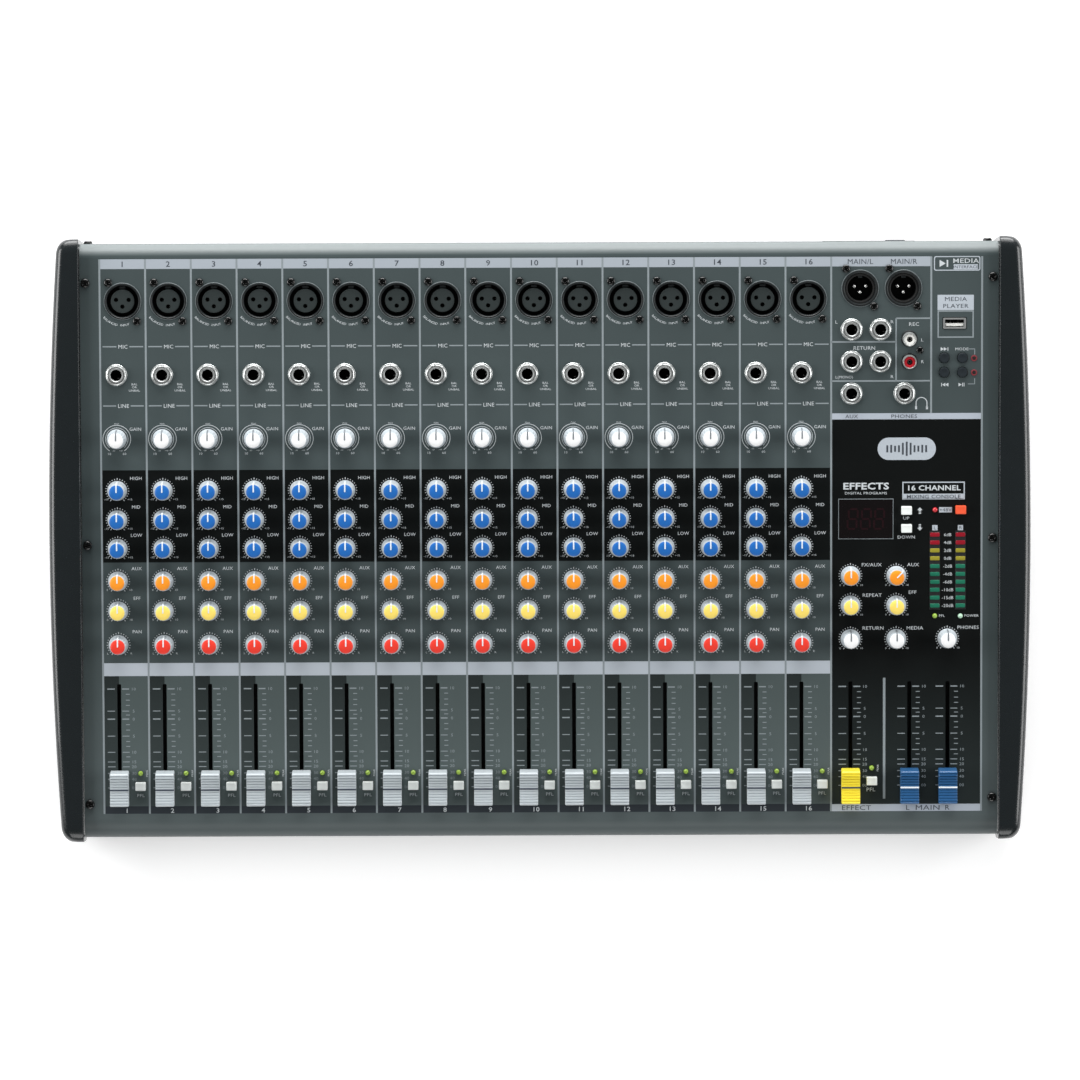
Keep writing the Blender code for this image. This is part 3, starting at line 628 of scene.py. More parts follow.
def letters(text, height, stretch=1.15, weight=0.0):
    """A word in flat capitals of that height, centred, as a thin layer of ink. Each word is made once."""
    key = (text, height, stretch, weight)
    if key not in LETTERS:
        curve = bpy.data.curves.new("word", "FONT")
        curve.body = text
        curve.align_x = "CENTER"
        curve.size = height / 0.70
        curve.resolution_u = 2
        curve.offset = weight
        curve.extrude = (INK[1] - INK[0]) / 2
        curve.space_character = 1.05
        holder = bpy.data.objects.new("word", curve)
        points, corners, sizes = read(bpy.data.meshes.new_from_object(holder))
        bpy.data.objects.remove(holder)
        bpy.data.curves.remove(curve)
        points = points * [stretch, 1.0, 1.0] - [0.0, height / 2, 0.0]
        LETTERS[key] = (points + [0.0, 0.0, sum(INK) / 2], corners, sizes)
    return LETTERS[key]


def word(text, u, v, height=2.0, turn=0.0, stretch=1.15, weight=0.0, lift=0.0):
    """A word on the panel, centred on (u, v)."""
    return moved(letters(text, height, stretch, weight), u, v, lift, turn)


def line(u, v, width, length, lift=0.0):
    """A printed bar, or a filled box."""
    return block(u, v, width, length, INK[0] + lift, INK[1] + lift)


def frame_ink(u, v, width, length, thick):
    """A printed rectangle's border, as four bars."""
    across, along = (width - thick) / 2, (length - thick) / 2
    bars = [line(u, v + side * along, width, thick) for side in (1, -1)]
    bars += [line(u + side * across, v, thick, length - 2 * thick) for side in (-1, 1)]
    return joined(bars)


# ---------------------------------------------------------------- pieces


def lay(points):
    """Panel millimetres (u, v, w) to the frame's metres."""
    across, along, out = points[:, :1], points[:, 1:2], points[:, 2:]
    return (across * [1.0, 0.0, 0.0] + along * SLOPE_ALONG + out * SLOPE_OUT + [0.0, 0.0, PANEL_Z]) * MM


def stand(points):
    """Upright millimetres to the frame's metres."""
    return points * MM


def make(name, parts, body="console", replaces=(), put=lay, crease=32.0):
    """One piece from (part, coat) pairs, put in its place and riding on a body."""
    points, corners, sizes = joined([part for part, _ in parts])
    coats = list(dict.fromkeys(coat for _, coat in parts))
    which = np.concatenate([np.full(len(part[2]), coats.index(coat)) for part, coat in parts])
    mesh = bpy.data.meshes.new(name)
    mesh.vertices.add(len(points))
    mesh.vertices.foreach_set("co", put(points).reshape(-1))
    mesh.loops.add(len(corners))
    mesh.loops.foreach_set("vertex_index", corners)
    mesh.polygons.add(len(sizes))
    mesh.polygons.foreach_set("loop_start", np.concatenate([[0], np.cumsum(sizes)[:-1]]))
    for coat in coats:
        mesh.materials.append(COATS[coat])
    mesh.polygons.foreach_set("material_index", which)
    mesh.update(calc_edges=True)
    mesh.shade_smooth()
    mesh.set_sharp_from_angle(angle=math.radians(crease))
    piece = bpy.data.objects.new(name, mesh)
    bpy.context.scene.collection.objects.link(piece)
    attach(piece, body)
    if replaces:
        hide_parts(*replaces)
    return piece


def printed(name, parts, coat):
    """A piece of print: its parts as one, on the panel."""
    make(name, [(joined(parts), coat)])


def panel_section(inset):
    """The bent sheet's outline (y, z) at a depth below its face: the rear bend and then the front bend.

    Each bend is an arc about a centre its own radius inside the sloping face and the upright lip.
    """
    half = extent("top_panel")[1][1]
    slope = math.atan(SLOPE_TAN)
    bends = []
    for y, bend, start, end in (
        (half - REAR_BEND, REAR_BEND, 0.0, math.pi / 2 + slope),
        (FRONT_BEND - half, FRONT_BEND, math.pi / 2 + slope, math.pi),
    ):
        z = PANEL_Z + y * SLOPE_TAN - bend / math.cos(slope)
        angle = np.linspace(start, end, 13)
        reach = bend - inset
        bends.append(np.column_stack([y + reach * np.cos(angle), z + reach * np.sin(angle)]))
    return bends


def bend_part(end, half_width):
    """One bend with its lip, end 0 at the rear and 1 at the front, in panel millimetres."""
    outer, inner = panel_section(0.0)[end], panel_section(SHEET)[end]
    if end == 0:
        lip = [[outer[0][0], outer[0][1] - REAR_LIP], [inner[0][0], inner[0][1] - REAR_LIP]]
        outline = np.vstack([lip[0], outer, inner[::-1], lip[1]])
    else:
        lip = [[outer[-1][0], outer[-1][1] - FRONT_LIP], [inner[-1][0], inner[-1][1] - FRONT_LIP]]
        outline = np.vstack([outer, lip[0], lip[1], inner[::-1]])
    upright = outline - [0.0, PANEL_Z]
    v = upright @ SLOPE_ALONG[1:]
    w = upright @ SLOPE_OUT[1:]
    return skin(np.array([np.column_stack([np.full(len(v), u), v, w]) for u in (half_width, -half_width)]))


def knob_places():
    """Every rotary control: (name, u, v, coat, body). The master knobs' slots end in their colour."""
    for channel in range(1, CHANNELS + 1):
        for row, coat in KNOB_ROWS.items():
            name = f"{row}_knob_{channel}"
            body = name if channel == 1 else "console"
            yield name, strip(channel) + CONTROLS_IN, ROW_V[row], coat, body
    for part in frame["record"]["subparts"]:
        name = part["node"]
        if name in MASTER_LABELS:
            yield name, *knob_axis(name), part["material_slot"].split("_")[1], name


def fader_places():
    """Every slide fader: (name, u)."""
    names = [f"fader_{channel}" for channel in range(1, CHANNELS + 1)]
    names += ["effect_fader", "main_left_fader", "main_right_fader"]
    return [(name, middle_u(name)) for name in names]


def key_places():
    """Every square key: (name, u, v, body)."""
    for channel in range(1, CHANNELS + 1):
        name = f"pfl_button_{channel}"
        yield name, strip(channel) + KEY_IN, KEY_V, name if channel == 1 else "console"
    for name, (u, v) in SQUARE_KEYS.items():
        yield name, u, v, name


def lamp_places():
    """Every round lamp: (name, u, v, coat)."""
    for channel in range(1, CHANNELS + 1):
        yield f"listen_lamp_{channel}", strip(channel) + KEY_IN, LISTEN_LED_V, "lamp_lime"
    yield "effect_listen_lamp", 200.9, -139.8, "lamp_lime"
    yield "master_listen_lamp", METERS["left"], -47.0, "lamp_lime"
    yield "power_lamp", METERS["right"], -47.1, "lamp_pale"
    yield "phantom_lamp", 239.2, 17.6, "lamp_red"


MIC_PLACES = [(strip(channel) + MIC_IN, MIC_V) for channel in range(1, CHANNELS + 1)]
LINE_PLACES = [(strip(channel) + CONTROLS_IN, LINE_V) for channel in range(1, CHANNELS + 1)]
MIC_HOLE = 11.4
KEY_SIZE = (6.4, 5.0)


def make_panel():
    """The folded sheet, pierced for every socket, shaft, lever, key and lamp."""
    half_width = extent("top_panel")[1][0]
    rear = panel_section(0.0)[0][-1]
    front = panel_section(0.0)[1][0]
    v_rear, v_front = ((end - [0.0, PANEL_Z]) @ SLOPE_ALONG[1:] for end in (rear, front))
    edge = box_outline(0.0, (v_rear + v_front) / 2, 2 * half_width, v_rear - v_front)
    holes = [ring_outline(MIC_HOLE, u, v, 56) for u, v in MIC_PLACES + list(OUTPUTS.values())]
    holes += [ring_outline(4.9, u, v, 24) for u, v in LINE_PLACES + list(MASTER_JACKS.values())]
    holes += [ring_outline(4.6, u, v, 32) for u, v in PHONOS.values()]
    holes += [ring_outline(3.6, u, v, 20) for _, u, v, _, _ in knob_places()]
    holes += [ring_outline(1.6, u, v, 16) for _, u, v, _ in lamp_places()]
    holes += [rounded(*SLOT, 0.5, 2) + [u, SLOT_MIDDLE_V] for _, u in fader_places()]
    holes += [rounded(KEY_SIZE[0] + 0.6, KEY_SIZE[1] + 0.6, 0.5, 2) + [u, v] for _, u, v, _ in key_places()]
    holes += [ring_outline(3.4, u, v, 28) for u, v in PLAYER_KEYS.values()]
    holes += [rounded(14.6, 7.4, 0.6, 2) + MEDIA]
    holes += [box_outline(*DISPLAY, DISPLAY_SIZE[0] + 0.6, DISPLAY_SIZE[1] + 0.6)]
    for u in METERS.values():
        holes.append(box_outline(u, METER_MIDDLE_V, METER_SIZE[0] + 0.3, METER_SIZE[1] + 0.3))
    parts = [cut_plate([edge] + holes, -SHEET, 0.0), bend_part(0, half_width), bend_part(1, half_width)]
    make("panel_sheet", [(joined(parts), "panel")], replaces=["top_panel"], crease=25.0)


def cheek_rings(side):
    """Rings of an end cheek, from front to back, in upright millimetres.

    The outer face bows out as a parabola of y. Each ring is a rectangle with round edges, and near both
    ends it draws in on a quarter circle.
    """
    (inner, _, bottom), (outer, half, _) = extent("right_cheek")
    ends, proud = 13.0, 6.0  # width at both ends, and rise above the panel
    corner, edge = 9.0, 4.6  # radii of the ends and of the long edges
    angle = np.linspace(0.0, math.pi / 2, 6)
    rounding = half - corner * (1 - np.cos(np.linspace(0, math.pi / 2, 9)))
    y = np.unique(np.concatenate([-rounding, np.linspace(corner - half, half - corner, 41), rounding]))
    past = np.clip(np.abs(y) - (half - corner), 0.0, None) / corner
    drawn = corner * (1.0 - np.sqrt(np.clip(1.0 - past * past, 0.0, 1.0)))
    bow = 1.0 - (y / half) ** 2
    x_out = inner + ends + (outer - inner - ends) * bow - 0.75 * drawn
    z_low = bottom + 0.55 * drawn
    z_high = PANEL_Z + y * SLOPE_TAN + proud - 0.55 * drawn
    rows = []
    for x, y_here, low, high in zip(x_out, y, z_low, z_high):
        under = np.column_stack([x - edge + edge * np.sin(angle), low + edge - edge * np.cos(angle)])
        over = np.column_stack([x - edge + edge * np.cos(angle), high - edge + edge * np.sin(angle)])
        lip = np.array([[inner + 0.5, high], [inner, high - 0.5], [inner, low + 0.5], [inner + 0.5, low]])
        section = np.vstack([under, over, lip])
        rows.append(np.column_stack([side * section[:, 0], np.full(len(section), y_here), section[:, 1]]))
    rings = np.array(rows)
    return rings[::-1] if side > 0 else rings


def make_cheeks():
    """The two moulded end cheeks."""
    for name, side in (("left_cheek", -1), ("right_cheek", 1)):
        shell = [(skin(cheek_rings(side)), "cheek")]
        make(name + "_shell", shell, replaces=[name], put=stand, crease=40.0)


def knob_part(coat):
    """A knob at the origin, pointing along +v: (part, coat) pairs.

    The skirt is a cone whose radius is ribbed by a cosine of the angle. The cap is a low dome on it, and
    the pointer a bar that lies over the cap and runs down the ribs.
    """
    sides, ribs = 54, 18
    angle = turns(sides)
    profile = [
        (5.9, 1.0, 0.0), (6.05, 1.5, 0.0), (5.85, 2.6, 0.0), (5.55, 3.2, 0.6),
        (5.15, 11.2, 0.9), (4.75, 12.3, 0.5), (4.45, 12.6, 0.0),
    ]
    radius, level, depth = np.array(profile).T[:, :, None]
    spread = radius - 0.42 * depth * (0.5 + 0.5 * np.cos(ribs * angle))
    rings = np.stack([spread * np.cos(angle), spread * np.sin(angle), level + 0.0 * spread], axis=-1)
    cap = turned([(4.4, 12.4), (4.4, 13.3), (4.25, 13.65), (3.9, 13.85), (2.0, 14.0)], 36)
    mark = "pointer_grey" if coat == "white" else "pointer"
    pointer = pad(0.85, 4.9, 0.3, [(0.0, 12.4), (0.0, 14.05), (0.12, 14.15)], 0.0, 2.35, 2)
    flank = carried([(5.75, 3.4), (5.15, 12.35), (4.6, 12.75), (4.6, 3.4)], [(-0.42, 1.0), (0.42, 1.0)])
    return [(skin(rings), "skirt"), (cap, coat), (pointer, mark), (flank, mark)]


def make_knobs():
    """All the rotary knobs, each with its shaft. The other channels' knobs stay with the console."""
    shaft = turned([(2.9, -8.4), (2.9, 1.2)], 16)
    kept = {coat: knob_part(coat) + [(shaft, "steel")] for coat in KNOB_ROWS.values()}
    pots = []
    for name, u, v, coat, body in knob_places():
        turn = -45.0 if name == "aux_master_knob" else 0.0
        node = [name] if body == name else []
        make(name + "_cap", placed(kept[coat], u, v, turn), body, node)
        pots.append(block(u, v, 9.5, 9.5, -16.5, -8.6))
    parts = [(block(0.0, 0.0, 528.0, 156.0, -18.1, -16.5), "board"), (joined(pots), "pot")]
    make("control_circuit_board", parts, replaces=["control_board"])


def cap_section():
    """A fader cap's outline (v, w), clockwise seen from +u: a dish with finger ribs, high at both ends."""
    half = CAP[1] / 2
    top = CAP_LOW + CAP[2]
    outline = [(-half, CAP_LOW), (-half + 0.9, top - 0.8), (-half + 1.5, top - 0.1), (-half + 2.0, top)]
    ribs = 5
    reach = half - 2.4
    for k in range(ribs * 2):
        far = -reach + (k + 0.5) * reach / ribs
        dish = top - 1.7 * (1.0 - (far / reach) ** 2)
        outline += [(far - 0.72, dish - 0.35), (far - 0.52, dish + 0.2)]
        outline += [(far + 0.52, dish + 0.2), (far + 0.72, dish - 0.35)]
    outline += [(half - 2.0, top), (half - 1.5, top - 0.1), (half - 0.9, top - 0.8), (half, CAP_LOW)]
    return outline


def make_faders():
    """Nineteen fader caps with their levers, and under each slot its track."""
    width = CAP[0] / 2
    stations = [(-width, 0.955), (-width + 0.35, 1.0), (width - 0.35, 1.0), (width, 0.955)]
    body = carried(cap_section(), stations)
    dish = CAP_LOW + CAP[2] - 1.7
    levels = [(0.0, dish - 2.0), (0.0, dish + 0.42), (0.15, dish + 0.5)]
    bead = pad(CAP[0] + 0.06, 0.95, 0.2, levels)
    lever = block(0.0, 0.0, 1.2, 4.0, -11.3, CAP_LOW + 1.0)
    wall, bed, top = 4.5, 1.4, -SHEET - 0.3
    section = [(-wall, -14.3), (wall, -14.3), (wall, top), (bed, top)]
    section = np.array(section + [(bed, -12.3), (-bed, -12.3), (-bed, top), (-wall, top)])
    ends = [SLOT_MIDDLE_V + end * (FADER_TRAVEL + 20.0) / 2 for end in (1, -1)]
    track = skin(np.array([np.insert(section, 1, v, axis=1) for v in ends]))
    tracks = []
    for name, u in fader_places():
        coat = "cap_yellow" if name == "effect_fader" else "cap_blue" if "main" in name else "cap_white"
        mark = "cap_line_white" if coat == "cap_blue" else "cap_line"
        parts = placed([(body, coat), (bead, mark), (lever, "steel")], u, FADER_REST_V)
        make(name + "_cap", parts, name, [name])
        tracks.append(moved(track, u))
    parts = [(joined(tracks), "track"), (block(0.0, SLOT_MIDDLE_V, 528.0, 88.0, -16.3, -14.5), "board")]
    make("fader_tracks", parts, replaces=["fader_board"])


def make_keys():
    """The square keys, which travel, and the player's round ones."""
    levels = [(0.0, -8.0), (0.0, 3.0), (0.12, 3.3), (0.4, 3.4), (1.2, 3.25)]
    for name, u, v, body in key_places():
        coat = "key_orange" if name == "phantom_button" else "key_white"
        cap = pad(*KEY_SIZE, 0.5, levels, u, v)
        make(name + "_cap", [(cap, coat)], body, [name] if body == name else [])
    profile = [(3.1, -8.5), (3.1, 1.2), (2.9, 1.5), (2.5, 1.62), (1.5, 1.4), (0.6, 1.3)]
    for name, (u, v) in PLAYER_KEYS.items():
        make(name + "_cap", [(turned(profile, 32, u, v), "key_dark")], name, [name])


def make_lamps():
    """Round lamps: a domed lens standing just out of the panel."""
    profile = [(1.5, -6.0), (1.5, 0.3), (1.38, 0.75), (1.05, 1.15), (0.55, 1.4), (0.15, 1.48)]
    for name, u, v, coat in lamp_places():
        make(name, [(turned(profile, 20, u, v), coat)])
    profile = [(1.9, -0.3), (1.9, 0.25), (1.6, 0.4), (1.25, 0.4), (1.1, 0.1), (1.1, -0.3)]
    bezel = turned(profile, 24, hollow=True)
    glass = turned([(1.1, -0.2), (1.1, 0.12), (0.8, 0.3), (0.3, 0.36)], 20)
    for name, v in (("mode_lamp", 109.6), ("play_lamp", 100.9)):
        make(name, placed([(bezel, "ink_red"), (glass, "bore")], 262.6, v))


def screw_part(radius, rise):
    """A pan-head screw at the origin, on the panel: a dome with a cross recess pressed into it."""
    sides = 40
    angle = turns(sides)
    radii = radius * np.array([1.0, 1.0, 0.93, 0.78, 0.55, 0.44, 0.30, 0.14])
    level = np.append(-0.2, rise * np.array([0.35, 0.7, 0.92, 1.0, 1.0, 1.0, 1.0]))
    x, y = np.outer(radii, np.cos(angle)), np.outer(radii, np.sin(angle))
    slot = (np.minimum(np.abs(x), np.abs(y)) < 0.16 * radius) & (radii[:, None] < 0.5 * radius)
    z = level[:, None] - 0.9 * slot
    return skin(np.stack([x, y, z], axis=-1))


def hexagon_rings(levels):
    """Rings of a hexagon nut: at each (half width, circle radius, w) the smaller of hexagon and circle."""
    angle = turns(48)
    fold = np.abs((angle + np.pi / 6) % (np.pi / 3) - np.pi / 6)
    rings = []
    for flats, circle, w in levels:
        radius = np.minimum(flats / np.cos(fold), circle)
        rings.append(np.column_stack([radius * np.cos(angle), radius * np.sin(angle), np.full(48, w)]))
    return np.array(rings)


def jack_part():
    """A jack socket at the origin: washer, hexagon nut, threaded bush with its bore, and the body below."""
    washer = turned([(6.6, 0.0), (6.6, 0.3), (6.45, 0.45), (4.6, 0.45), (4.6, 0.0)], 40, hollow=True)
    levels = [(5.7, 6.2, 0.45), (5.7, 6.5, 0.8), (5.7, 6.5, 1.9), (5.7, 6.0, 2.3), (5.35, 5.5, 2.5)]
    nut = skin(hexagon_rings(levels + [(4.95, 4.95, 2.35), (4.95, 4.95, 0.45)]), hollow=True)
    profile = [(4.55, -1.8), (4.55, 2.9), (4.4, 3.2), (3.85, 3.2), (3.45, 2.7), (3.4, -1.8)]
    bush = turned(profile, 40, hollow=True)
    # The bore is painted near-black as painted shade inside the jack.
    bore = turned([(3.42, -17.1), (3.42, 0.9), (3.25, 0.9), (3.25, -16.8)], 28)
    body = turned([(7.0, -21.3), (7.0, -1.8), (3.45, -1.8), (3.45, -17.2)], 24)
    spring = pad(1.2, 0.5, 0.1, [(0.0, -12.0), (0.0, -6.0), (0.1, -5.6)], 1.0, -2.4, 2)
    plated_parts = joined([washer, nut, bush])
    return [(plated_parts, "nickel"), (bore, "bore"), (body, "nylon"), (spring, "pin")]


def rim_part():
    """The rolled lip that a socket's shell stands in; its light grey coat is a painted highlight on its edge."""
    return turned([(11.35, -0.3), (11.35, 0.3), (11.2, 0.5), (10.95, 0.5), (10.9, -0.3)], 56, hollow=True)


def mic_part():
    """A female three-pole socket at the origin: shell, deep groove, core with three holes, and contacts."""
    flange = [(10.9, 0.5), (10.75, 0.85), (10.2, 0.95), (9.85, 0.7), (9.6, 0.2), (9.5, -0.6)]
    shell = turned([(10.9, -21.3)] + flange + [(9.5, -13.0), (7.25, -13.0)], 56)
    holes = [(-3.9, 0.9), (3.7, 0.9), (-0.1, -3.2)]
    edge = turned([(7.2, -13.0), (7.2, -0.95), (7.0, -0.6), (6.5, -0.5), (6.5, -13.0)], 48, hollow=True)
    outlines = [ring_outline(6.5, sides=48)] + [ring_outline(1.35, u, v, 20) for u, v in holes]
    plate = cut_plate(outlines, -10.0, -0.6)
    tube = turned([(1.3, -9.5), (1.3, -3.2), (0.95, -3.0), (0.95, -9.5)], 14, hollow=True)
    contacts = [moved(tube, u, v) for u, v in holes]
    # The floor under the contacts is painted near-black as painted shade.
    floor = turned([(6.45, -12.8), (6.45, -10.1)], 24)
    key = pad(3.6, 1.5, 0.3, [(0.0, -12.0), (0.0, -1.2), (0.2, -1.0)], 0.0, 8.4, 2)
    return [
        (shell, "nylon"),
        (rim_part(), "rim"),
        (edge, "core"),
        (plate, "core"),
        (joined(contacts), "pin"),
        (floor, "bore"),
        (key, "nylon"),
    ]


def output_part():
    """A male three-pole socket at the origin: flanged shell, a throat painted darker than the shell as painted
    shade, with a keyway, and three pins.
    """
    flange = [(10.9, 0.5), (10.7, 0.95), (9.9, 1.1), (9.4, 0.9), (9.2, 0.3), (9.1, -0.6)]
    shell = turned([(10.9, -21.3)] + flange + [(9.1, -21.3)], 56, hollow=True)
    # The throat is painted near-black as painted shade inside the shell.
    throat = turned([(9.0, -21.3), (9.0, -0.5), (8.3, -0.4), (7.75, -0.6), (7.65, -1.0), (7.65, -13.0)], 48)
    places = ((-3.5, 1.1), (3.5, 1.1), (0.0, -2.6))
    pins = [turned([(1.0, -14.0), (1.0, -3.0), (0.8, -2.4), (0.35, -2.1)], 18, u, v) for u, v in places]
    key = pad(2.6, 1.6, 0.4, [(0.0, -12.0), (0.0, -0.9), (0.2, -0.7)], 0.0, 7.0, 2)
    return [(shell, "nylon"), (throat, "bore"), (rim_part(), "rim"), (joined(pins), "steel"), (key, "nylon")]


def phono_part(ring):
    """A phono socket at the origin: collar, plated sleeve, coloured insulator and sunken centre contact."""
    tubes = [
        ("nylon", 40, [(5.0, 0.0), (5.0, 0.5), (4.8, 0.7), (4.3, 0.7), (4.3, 0.0)]),
        ("nickel", 40, [(4.2, -1.8), (4.2, 6.6), (4.0, 7.0), (3.65, 7.0), (3.45, 6.7), (3.45, -1.8)]),
        (ring, 32, [(3.4, -4.5), (3.4, 6.1), (3.15, 6.35), (1.95, 6.3), (1.75, 6.0), (1.75, -4.5)]),
        ("pin", 20, [(1.3, -6.0), (1.3, 3.2), (1.1, 3.5), (0.8, 3.5), (0.7, 3.2), (0.7, -6.0)]),
    ]
    body = turned([(6.0, -21.3), (6.0, -1.8), (4.3, -1.8)], 20)
    return [(turned(profile, sides, hollow=True), coat) for coat, sides, profile in tubes] + [(body, "nylon")]


def make_sockets():
    """Every socket, and the boards that they stand on."""
    socket, jack, output = mic_part(), jack_part(), output_part()
    for channel, (u, v) in enumerate(MIC_PLACES, 1):
        make(f"mic_socket_{channel}", placed(socket, u, v))
    jacks = {f"line_jack_{channel}": place for channel, place in enumerate(LINE_PLACES, 1)} | MASTER_JACKS
    for index, (name, (u, v)) in enumerate(jacks.items()):
        turn = (index * 37) % 60  # nuts end up however they were tightened
        make(name, placed(jack, u, v, turn))
    for side, (u, v) in OUTPUTS.items():
        make(f"main_{side}_output", placed(output, u, v))
    for name, (u, v) in PHONOS.items():
        ring = "phono_white" if "left" in name else "phono_red"
        make(name, placed(phono_part(ring), u, v))
    middle, width = (STRIPS_LEFT + STRIPS_RIGHT) / 2, STRIPS_RIGHT - STRIPS_LEFT - 2.0
    boards = {
        "mic_circuit_board": ((middle, MIC_V, width, 30.0), "socket_plastic", "mic_socket_board"),
        "line_circuit_board": ((middle, LINE_V, width, 20.0), "jack_metal", "line_jack_board"),
        "output_circuit_board": ((207.0, 123.8, 56.0, 80.0), "jack_metal", "output_board"),
    }
    for name, (where, slot, node) in boards.items():
        make(name, [(block(*where, -23.4, -21.4), "board")], replaces=[node])


def make_media_socket():
    """The media socket: a folded steel shell with its tongue, on the player's board."""
    u, v = MEDIA
    outer = rounded(13.8, 6.6, 0.6, 3) + MEDIA
    inner = rounded(11.6, 4.6, 0.4, 3) + MEDIA
    shell = cut_plate([outer, inner], -11.8, 0.35)
    # The back of the cavity is painted near-black as painted shade.
    back = block(u, v, 12.6, 5.4, -11.8, -9.6)
    tongue = pad(10.8, 1.7, 0.2, [(0.0, -10.0), (0.0, -0.9), (0.2, -0.7)], u, v - 0.9, 2)
    contacts = joined([block(u - 3.5 + 2.33 * k, v, 1.1, 0.14, -9.0, -1.4) for k in range(4)])
    plate = block(u + 0.5, 116.5, 26.0, 44.0, -13.4, -11.8)
    parts = [(shell, "nickel"), (back, "bore"), (tongue, "phono_white"), (contacts, "pin"), (plate, "board")]
    make("media_socket", parts, replaces=["player_module"])


def make_screws():
    """The screws that hold the sheet, the sockets and the phono block."""
    head = [(screw_part(2.8, 1.5), "screw")]
    edges = {"left": (-274.0, (156.9, -2.2, -160.5)), "right": (274.0, (159.0, 0.4, -157.9))}
    for side, (u, rows) in edges.items():
        for row, v in zip(("rear", "middle", "front"), rows):
            make(f"panel_screw_{side}_{row}", placed(head, u, v, 20.0))
    points, corners, sizes = screw_part(2.7, 1.9)
    rear = extent("top_panel")[1][1]
    for side, x in (("left", -272.6), ("right", 271.2)):
        turned_back = points[:, [0, 2, 1]] * [1.0, 1.0, -1.0] + [x, rear, PANEL_Z + rear * SLOPE_TAN - 12.0]
        make(f"lip_screw_{side}", [((turned_back, corners, sizes), "screw")], put=stand)
    small = screw_part(2.5, 1.3)
    heads = []
    for u, v in MIC_PLACES:
        heads += [moved(small, u - 8.7, v + 11.3, 0.0, 15.0), moved(small, u + 8.5, v - 12.1, 0.0, 50.0)]
    make("mic_socket_screws", [(joined(heads), "screw")])
    heads = []
    for u, v in OUTPUTS.values():
        heads += [moved(small, u - 8.5, v + 11.9, 0.0, 30.0), moved(small, u + 8.4, v - 10.9, 0.0, 65.0)]
    heads.append(moved(screw_part(2.2, 1.2), 229.9, 114.5, 0.0, 10.0))
    make("output_screws", [(joined(heads), "screw")])


def make_display():
    """The number on the smoked window, as three seven-segment digits."""
    segments = []
    for digit in range(3):
        u = DISPLAY[0] + (digit - 1) * 8.0
        for du, dv, width, length in (
            (0.0, 6.0, 4.2, 1.1), (0.0, 0.0, 4.2, 1.1), (0.0, -6.0, 4.2, 1.1),
            (-2.7, 3.0, 1.1, 4.6), (2.7, 3.0, 1.1, 4.6), (-2.7, -3.0, 1.1, 4.6), (2.7, -3.0, 1.1, 4.6),
        ):
            segments.append(block(u + du + 0.12 * dv, DISPLAY[1] + dv, width, length, 0.22, 0.35))
    make("display_digits", [(joined(segments), "digit")])
    wear("effect_display_window", COATS["smoke"])


def make_meters():
    """The level meters: a black bezel with ten lamps in each column, red at the top."""
    levels = [(0.0, -0.5), (0.0, 0.25), (0.15, 0.42), (0.5, 0.5)]
    for side, u in METERS.items():
        parts = [(block(u, METER_MIDDLE_V, *METER_SIZE, -8.0, 0.05), "ink_black")]
        for row in range(METER_LAMPS):
            coat = "bar_red" if row < 2 else "bar_yellow" if row < 4 else "bar_green"
            parts.append((pad(5.8, 2.5, 0.5, levels, u, METER_TOP_V - METER_STEP * row, 2), coat))
        make(f"meter_{side}", parts)


KEPT_COATS = {"base_tray": "tray", "power_supply": "pot", "mains_inlet": "nylon", "power_rocker": "key_dark"}


def wear(node, material):
    """Gives a CAD node that stays in view its finish, through the object's own material slots."""
    for slot in frame["nodes"][node].material_slots:
        slot.link = "OBJECT"
        slot.material = material


def make_body():
    """The tray, power supply, inlet and rocker keep their CAD shapes. The feet get turned ones."""
    for node, coat in KEPT_COATS.items():
        wear(node, COATS[coat])
    for node in ("foot_front_left", "foot_front_right", "foot_rear_left", "foot_rear_right"):
        low, high = extent(node)
        x, y = (low[:2] + high[:2]) / 2
        radius, height = (high[0] - low[0]) / 2, high[2]
        profile = [
            (3.0, 4.0), (3.5, 4.0), (3.5, 0.6), (3.9, 0.0), (radius - 2.4, 0.0), (radius - 1.7, 0.5),
            (radius - 0.3, height - 0.6), (radius - 0.3, height), (0.5, height),
        ]
        points, corners, sizes = screw_part(2.6, 1.0)
        head = (points * [1.0, -1.0, -1.0] + [0.0, 0.0, 4.2], corners, sizes)
        parts = placed([(turned(profile, 40), "rubber"), (head, "screw")], x, y)
        make(node + "_pad", parts, replaces=[node], put=stand)


# ---------------------------------------------------------------- print

FADER_SCALE = (
    (-89.9, "10"), (-103.4, "5"), (-108.3, "0"), (-118.7, "5"), (-128.6, "10"),
    (-134.5, "15"), (-137.5, "20"), (-141.5, "30"), (-145.1, "40"), (-150.4, "00"),
)
FADER_MINOR = (-93.1, -96.7, -99.9, -105.8, -111.7, -115.0, -122.0, -125.0, -131.4)
ROW_PRINT = {  # name, its height above the shaft, and the ends of the scale
    "gain": ("GAIN", 6.0, "10", "60"),
    "high": ("HIGH", 7.4, "-15", "+15"),
    "mid": ("MID", 7.8, "-15", "+15"),
    "low": ("LOW", 8.1, "-15", "+15"),
    "aux": ("AUX", 7.6, "0", "10"),
    "effect": ("EFF", 7.7, "0", "10"),
    "pan": ("PAN", 7.9, "L", "R"),
}
MASTER_LABELS = {
    "aux_return_knob": ("FX/AUX", 200.8, -15.7),
    "aux_master_knob": ("AUX", 225.9, -15.7),
    "repeat_knob": ("REPEAT", 201.1, -34.2),
    "effect_master_knob": ("EFF", 225.6, -32.5),
    "return_knob": ("RETURN", 201.7, -54.3),
    "player_level_knob": ("MEDIA", 227.0, -54.3),
    "phones_knob": ("PHONES", 259.3, -54.0),
}


